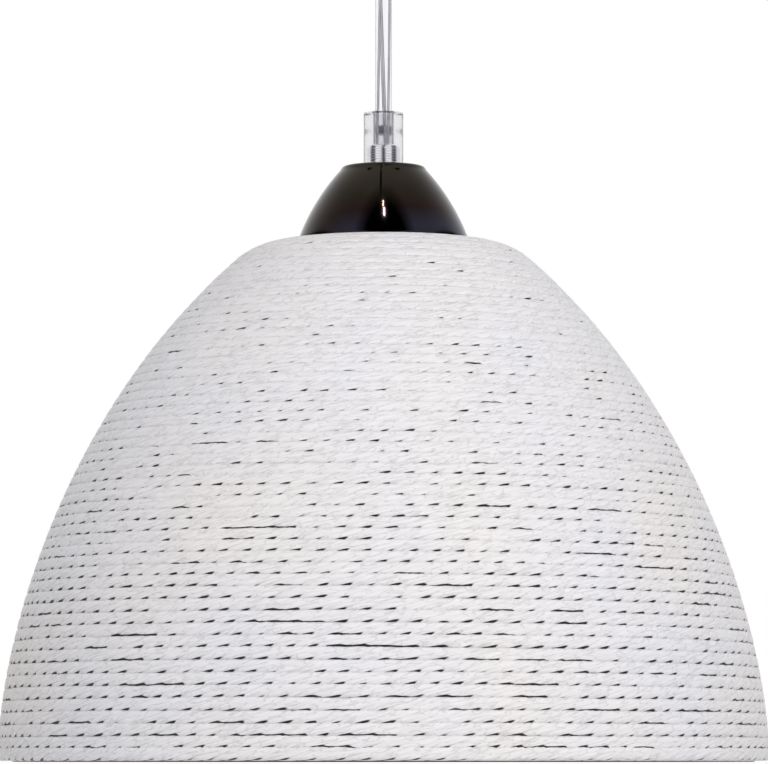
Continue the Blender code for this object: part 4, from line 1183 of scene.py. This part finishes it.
class PENDANT_OT_stage(bpy.types.Operator):
    """Set up the camera, the lamps, the sky and the floor"""

    bl_idname = "pendant.stage"
    bl_label = "Stage"

    def execute(self, context):
        settings = context.scene.pendant_stage
        scene = context.scene
        scene.view_settings.view_transform = "Standard"
        camera_data = bpy.data.cameras.new("camera")
        camera_data.lens = settings.lens
        camera_data.clip_end = 20
        camera = bpy.data.objects.new("camera", camera_data)
        camera.location = (CAMERA_SIDE, -settings.camera_distance, settings.camera_height)
        camera.rotation_euler = (math.pi / 2 + settings.camera_tilt, 0, 0)
        scene.collection.objects.link(camera)
        scene.camera = camera
        clear_selection()
        bpy.ops.mesh.primitive_plane_add(size=FLOOR_SIZE, location=(0, 0, 0))
        floor = context.object
        floor.name = "floor"
        bpy.ops.object.mode_set(mode="EDIT")
        bpy.ops.mesh.subdivide(number_cuts=2)
        bpy.ops.mesh.select_all(action="SELECT")
        bpy.ops.transform.translate(value=(0, 0, settings.floor_level))
        bpy.ops.object.mode_set(mode="OBJECT")
        floor.data.materials.append(self.floor_finish())
        self.sky(scene, settings.daylight)
        for name, place, share in SOFT_LAMPS:
            soft = self.lamp(name, place, SHADE_MIDDLE, SOFT_LAMP_SIZE, settings.lamp_power * share)
            soft.visible_glossy = False
            soft.visible_transmission = False
        for name, side, lift, width, height in GLINTS:
            rise = math.radians(lift)
            away = -GLINT_DISTANCE * math.cos(rise)
            place = (side, away, GLINT_DISTANCE * math.sin(rise) + CUP_MIDDLE[2])
            strip = self.lamp(name, place, CUP_MIDDLE, width, GLINT_POWER * width * height)
            strip.data.shape = "RECTANGLE"
            strip.data.size_y = height
            strip.visible_diffuse = False
        for name, place, radius, turn, core, through in CARDS:
            card = self.flag(name, place, radius, [math.radians(angle) for angle in turn], core)
            card.visible_transmission = through
        bpy.data.objects["dark_streak"].scale = (STREAK_WIDTH, 1, 1)
        return {"FINISHED"}

    def floor_finish(self):
        """A pale floor that fades out to the sky and can be looked through from below."""
        material, shader = new_material("pale floor", 0.9)
        tone = colour_ramp(material, object_noise(material, 2.0), (0.83, 0.83, 0.83), (0.86, 0.86, 0.86))
        link(material, tone, shader.inputs["Base Color"])
        from_below = add_node(material, "ShaderNodeNewGeometry").outputs["Backfacing"]
        faded = self.faded(material, *FLOOR_FADE)
        shown = combined(material, "MULTIPLY", faded, falling(material, from_below, 1.0))
        link(material, shown, shader.inputs["Alpha"])
        return material

    def faded(self, material, start, end):
        """How much of a card or the floor shows, less towards its edge."""
        centre = add_node(material, "ShaderNodeTexCoord")
        spread = add_node(material, "ShaderNodeVectorMath", operation="LENGTH")
        link(material, centre.outputs["Object"], spread.inputs[0])
        return value_range(material, spread.outputs["Value"], 1.0, 0.0, start, end)

    def sky(self, scene, strength):
        """An even sky, gentle on the object, but white to the camera and in clear or shiny pieces."""
        world = bpy.data.worlds.new("studio")
        scene.world = world
        world.use_nodes = True
        background = world.node_tree.nodes["Background"]
        background.inputs["Color"].default_value = (1, 1, 1, 1)
        rays = add_node(world, "ShaderNodeLightPath")
        kinds = [rays.outputs[f"Is {kind} Ray"] for kind in ("Camera", "Glossy", "Transmission")]
        seen = combined(world, "MAXIMUM", *kinds)
        link(world, value_range(world, seen, strength, 1.0), background.inputs["Strength"])

    def lamp(self, name, place, aim, size, power):
        data = bpy.data.lights.new(name, "AREA")
        data.shape = "DISK"
        data.size = size
        data.energy = power
        lamp = bpy.data.objects.new(name, data)
        lamp.location = place
        lamp.rotation_euler = (Vector(aim) - Vector(place)).to_track_quat("-Z", "Y").to_euler()
        bpy.context.scene.collection.objects.link(lamp)
        return lamp

    def flag(self, name, place, radius, turn, core):
        """A dark card with a soft edge, which only shiny and clear pieces show."""
        clear_selection()
        bpy.ops.mesh.primitive_circle_add(
            vertices=48, radius=radius, fill_type="NGON", location=place, rotation=turn
        )
        card = bpy.context.object
        card.name = name
        material, shader = new_material(name + " card", 1.0)
        shader.inputs["Specular IOR Level"].default_value = 0.0
        shader.inputs["Base Color"].default_value = (0.004, 0.004, 0.004, 1)
        link(material, self.faded(material, radius * core, radius), shader.inputs["Alpha"])
        card.data.materials.append(material)
        card.visible_camera = False
        card.visible_diffuse = False
        card.visible_shadow = False
        return card


STEPS = (
    PENDANT_OT_stage,
    PENDANT_OT_supply_cord,
    PENDANT_OT_cord_grips,
    PENDANT_OT_nipples,
    PENDANT_OT_lamp_cup,
    PENDANT_OT_ceiling_canopy,
    PENDANT_OT_cord_shade,
    PENDANT_OT_bulb,
    PENDANT_OT_fittings,
)
SETTINGS = {
    "pendant_shade": ShadeCordSettings,
    "pendant_cable": CableSettings,
    "pendant_metal": MetalSettings,
    "pendant_stage": StageSettings,
}


class PENDANT_PT_pieces(bpy.types.Panel):
    """Lists the light's pieces and their settings"""

    bl_idname = "PENDANT_PT_pieces"
    bl_label = "Pendant Light"
    bl_space_type = "VIEW_3D"
    bl_region_type = "UI"
    bl_category = "Pendant Light"

    def draw(self, context):
        for step in STEPS:
            self.layout.operator(step.bl_idname)
        for name, group in SETTINGS.items():
            box = self.layout.box()
            box.label(text=group.__doc__)
            for field in group.__annotations__:
                box.prop(getattr(context.scene, name), field)


def register():
    for group in SETTINGS.values():
        bpy.utils.register_class(group)
    for step in STEPS:
        bpy.utils.register_class(step)
    bpy.utils.register_class(PENDANT_PT_pieces)
    for name, group in SETTINGS.items():
        setattr(bpy.types.Scene, name, PointerProperty(type=group))


def unregister():
    for name in SETTINGS:
        delattr(bpy.types.Scene, name)
    bpy.utils.unregister_class(PENDANT_PT_pieces)
    for step in reversed(STEPS):
        bpy.utils.unregister_class(step)
    for group in reversed(SETTINGS.values()):
        bpy.utils.unregister_class(group)


def main():
    register()
    bpy.ops.pendant.stage()
    bpy.ops.pendant.supply_cord()
    bpy.ops.pendant.cord_grips()
    bpy.ops.pendant.nipples()
    bpy.ops.pendant.lamp_cup()
    bpy.ops.pendant.ceiling_canopy()
    bpy.ops.pendant.cord_shade()
    bpy.ops.pendant.bulb()
    bpy.ops.pendant.fittings()


if __name__ == "__main__":
    main()
